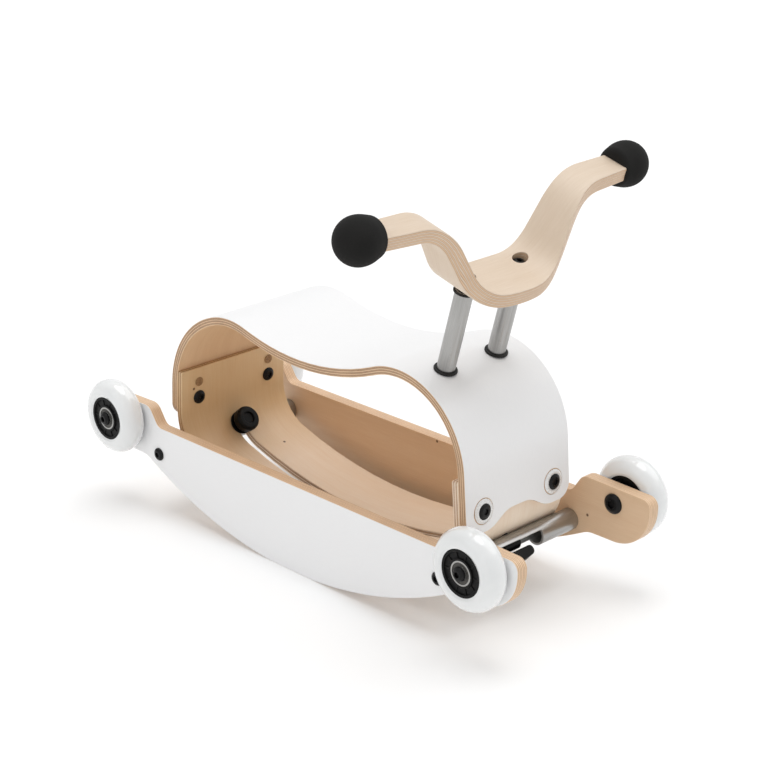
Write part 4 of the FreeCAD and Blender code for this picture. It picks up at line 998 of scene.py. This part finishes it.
def hubShape():
    hub, half, seat, deep, stop = (wheel[part] for part in ("hub", "half", "seat", "seatHalf", "stop"))
    line = [(seat, -half, 0.2)] + [(r, depth - half, bend) for r, depth, bend in wheel["hollow"]]
    line.append((hub, -half, 0.2))
    line += [(r, -z, bend) for r, z, bend in reversed(line)]
    line += [(seat, deep, 0), (stop, deep, 0), (stop, -deep, 0), (seat, -deep, 0)]
    bm = lathed(line, segments=96)
    rib = block(*wheel["rib"])
    softened(rib, 0.2)
    height = half - wheel["ribDepth"]
    spots = [Matrix.Rotation(2 * math.pi * i / wheel["ribs"], 4, "Z")
             @ Matrix.Translation((wheel["ribOut"], 0, side * height))
             for i in range(wheel["ribs"]) for side in ends]
    bm.from_mesh(meshOf(copies(rib, spots), "ribs"))
    return bm


def bearingShape():
    # both bearings of a wheel; their sunk seals take the second material
    bore, seat, low, half = wheel["bore"], wheel["seat"], wheel["seatHalf"], wheel["half"]
    race, inner, sunk = wheel["race"], wheel["innerRace"], half - wheel["sealDepth"]
    bm = lathed([(bore, low, 0.3), (seat, low, 0.3), (seat, half, 0.4), (race, half, 0.2),
                 (race, sunk, 0), (inner, sunk, 0), (inner, half, 0.2), (bore, half, 0.3)], segments=64)
    for face in bm.faces:
        if abs(face.normal.z) > 0.9 and inner < face.calc_center_median().xy.length < race:
            face.material_index = 1
    bm = copies(bm, [Matrix.Identity(4), Matrix.Scale(-1, 4, up)])
    bmesh.ops.recalc_face_normals(bm, faces=bm.faces)
    return bm


def makeWheels():
    for endName, end in frontRear:
        for sideName, side in leftRight:
            tag, body = endName + sideName, f"wheel_{endName}_{sideName}".lower()
            place = alongY(end * horse["axleX"], side * horse["wheelY"], horse["axleHeight"], side)
            finishPiece("tyre" + tag, placed(tyreShape(), place), whiteTyre, body)
            finishPiece("hub" + tag, placed(hubShape(), place), blackNylon, body)
            finishPiece("bearings" + tag, placed(bearingShape(), place), [bearingSteel, bearingSeal],
                        body)


makeWheels()
print("wheels done")


# cross tubes, knob and clamp

clamp = {
    "tubeRadius": 10, "tubeWall": 2, "windowLength": 62, "windowDepth": 0.7, "windowCut": (20, 40),
    "washer": 11.5, "washerBore": 4.1, "washerThickness": 1.5, "washerLift": 18.7,
    "barrel": 6.5, "barrelLength": 20, "barrelMiddle": -2, "fork": 6, "forkReach": 9, "slack": 0.6,
    "pivot": (14, -13), "pin": 2, "leverWidth": 13, "rim": 1.2, "heel": 6.2, "heelFlat": 0.6,
    "tip": [(15.5, 15.5, 4.5), (7.2, 15.5, 3.5)],
}
knob = {
    "stud": 4, "foot": 20.5, "neck": 8, "neckLength": 3.5, "radius": 12.25, "height": 10.5, "edge": 3,
    "dimple": 6, "dimpleDepth": 2, "dimpleTaper": 0.4,
}


def clampPlace(end, lift):
    # on the line of the clamping screw, this far from the tube's middle
    angle = math.radians(horse["clampAngle"])
    inward = Vector((-end * math.cos(angle), 0, math.sin(angle)))
    centre = Vector((end * horse["tubeX"], 0, horse["tubeZ"]))
    return facing(*(centre + inward * lift), inward)


def windowPlace(depth, y, across):
    return (Matrix.Translation((horse["tubeX"], 0, horse["tubeZ"]))
            @ Matrix.Rotation(math.radians(horse["windowAngle"]), 4, "Y")
            @ Matrix.Translation((depth, y, across)))


def makeTubes():
    inner = horse["railFace"] - horse["railThickness"]
    outside, inside = clamp["tubeRadius"], clamp["tubeRadius"] - clamp["tubeWall"]
    for name, end in frontRear:
        bm = lathed([(inside, -inner, 0.3), (outside, -inner, 0.4), (outside, inner, 0.4),
                     (inside, inner, 0.3)])
        place = alongY(end * horse["tubeX"], 0, horse["tubeZ"], 1)
        if name == "Front":
            deep, wide = clamp["windowCut"]
            window = windowPlace(clamp["windowDepth"] + deep / 2, 0, 0)
            bm = carved(bm, placed(block(deep, clamp["windowLength"], wide), place.inverted() @ window))
        keepFlatPlace(bm)
        for face in bm.faces:
            if face.calc_center_median().xy.length < inside + 0.1:
                face.material_index = 1
        finishPiece("crossTube" + name, placed(bm, place), [satinAluminium, boreAluminium])


def makeKnob():
    foot, neck, stud, radius, edge = (knob[part] for part in ("foot", "neck", "stud", "radius", "edge"))
    neckTop = foot + knob["neckLength"]
    top = neckTop + knob["height"]
    dimple, low = knob["dimple"], top - knob["dimpleDepth"]
    bm = lathed([(0, 0, 0), (stud, 0, 0.4), (stud, foot, 0), (neck, foot, 0.4), (neck, neckTop, 0.6),
                 (radius, neckTop, edge), (radius, top, edge), (dimple, top, 0.5),
                 (dimple - knob["dimpleTaper"], low, 0.5), (0, low, 0)], segments=96, closed=False)
    finishPiece("strapKnob", placed(bm, clampPlace(-1, 0)), blackNylon, "knob")
    bore, wide, thick, lift = (clamp["washer" + part] for part in ("Bore", "", "Thickness", "Lift"))
    washer = lathed([(bore, 0, 0.3), (wide, 0, 0.4), (wide, thick, 0.4), (bore, thick, 0.3)])
    finishPiece("clampWasherRear", placed(washer.copy(), clampPlace(-1, lift)), blackOxide,
                "knob_washer")
    finishPiece("clampWasherFront", placed(washer, clampPlace(1, lift)), bearingSteel)
    fasten("clampBolt", "clamp", [clampPlace(1, lift + thick)])


def makeClamp():
    # the yoke is a barrel that lies in the tube, with a tongue out to the lever's pin
    barrel, half, pin = clamp["barrel"], clamp["barrelLength"] / 2, clamp["pin"]
    seat = clampPlace(1, clamp["tubeRadius"] - clamp["tubeWall"] - barrel).translation
    bm = lathed([(0, -half, 0), (barrel, -half, 1), (barrel, half, 1), (0, half, 0)], closed=False)
    bm = placed(bm, alongY(seat.x, clamp["barrelMiddle"], seat.z, 1))
    depth, y = clamp["pivot"]
    tongue = softened(block(depth + 2 * pin, 4 * pin, clamp["fork"] - clamp["slack"]), 0.5)
    bm.from_mesh(meshOf(placed(tongue, windowPlace(depth / 2 + pin, y, 0)), "tongue"))
    finishPiece("clampYoke", bm, blackNylon)
    reach = clamp["leverWidth"] / 2
    bm = lathed([(0, -reach, 0), (pin, -reach, 0.3), (pin, reach, 0.3), (0, reach, 0)], closed=False)
    finishPiece("clampPin", placed(bm, windowPlace(depth, y, 0)), bearingSteel)
    # the lever is a plate in the window's frame, forked over the tongue
    heel, bend = clamp["heel"], clamp["heel"] - clamp["heelFlat"]
    outline = [(depth - heel, y - heel, bend), (depth + heel, y - heel, bend)] + clamp["tip"]
    bm = plate(outline, clamp["leverWidth"], rim=clamp["rim"], stepAngle=8)
    bmesh.ops.translate(bm, verts=bm.verts, vec=(0, 0, -reach))
    fork = block(4 * heel, 2 * clamp["forkReach"], clamp["fork"])
    bm = carved(bm, placed(fork, Matrix.Translation((depth, y, 0))))
    finishPiece("clampLever", placed(bm, windowPlace(0, 0, 0)), blackNylon, "lever")
    # hidden steel that keeps its CAD shape
    for name in ("tube_plugs", "tube_nut"):
        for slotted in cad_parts[name].material_slots:
            slotted.material = bearingSteel


makeTubes()
makeKnob()
makeClamp()
print("tubes, knob and clamp done")
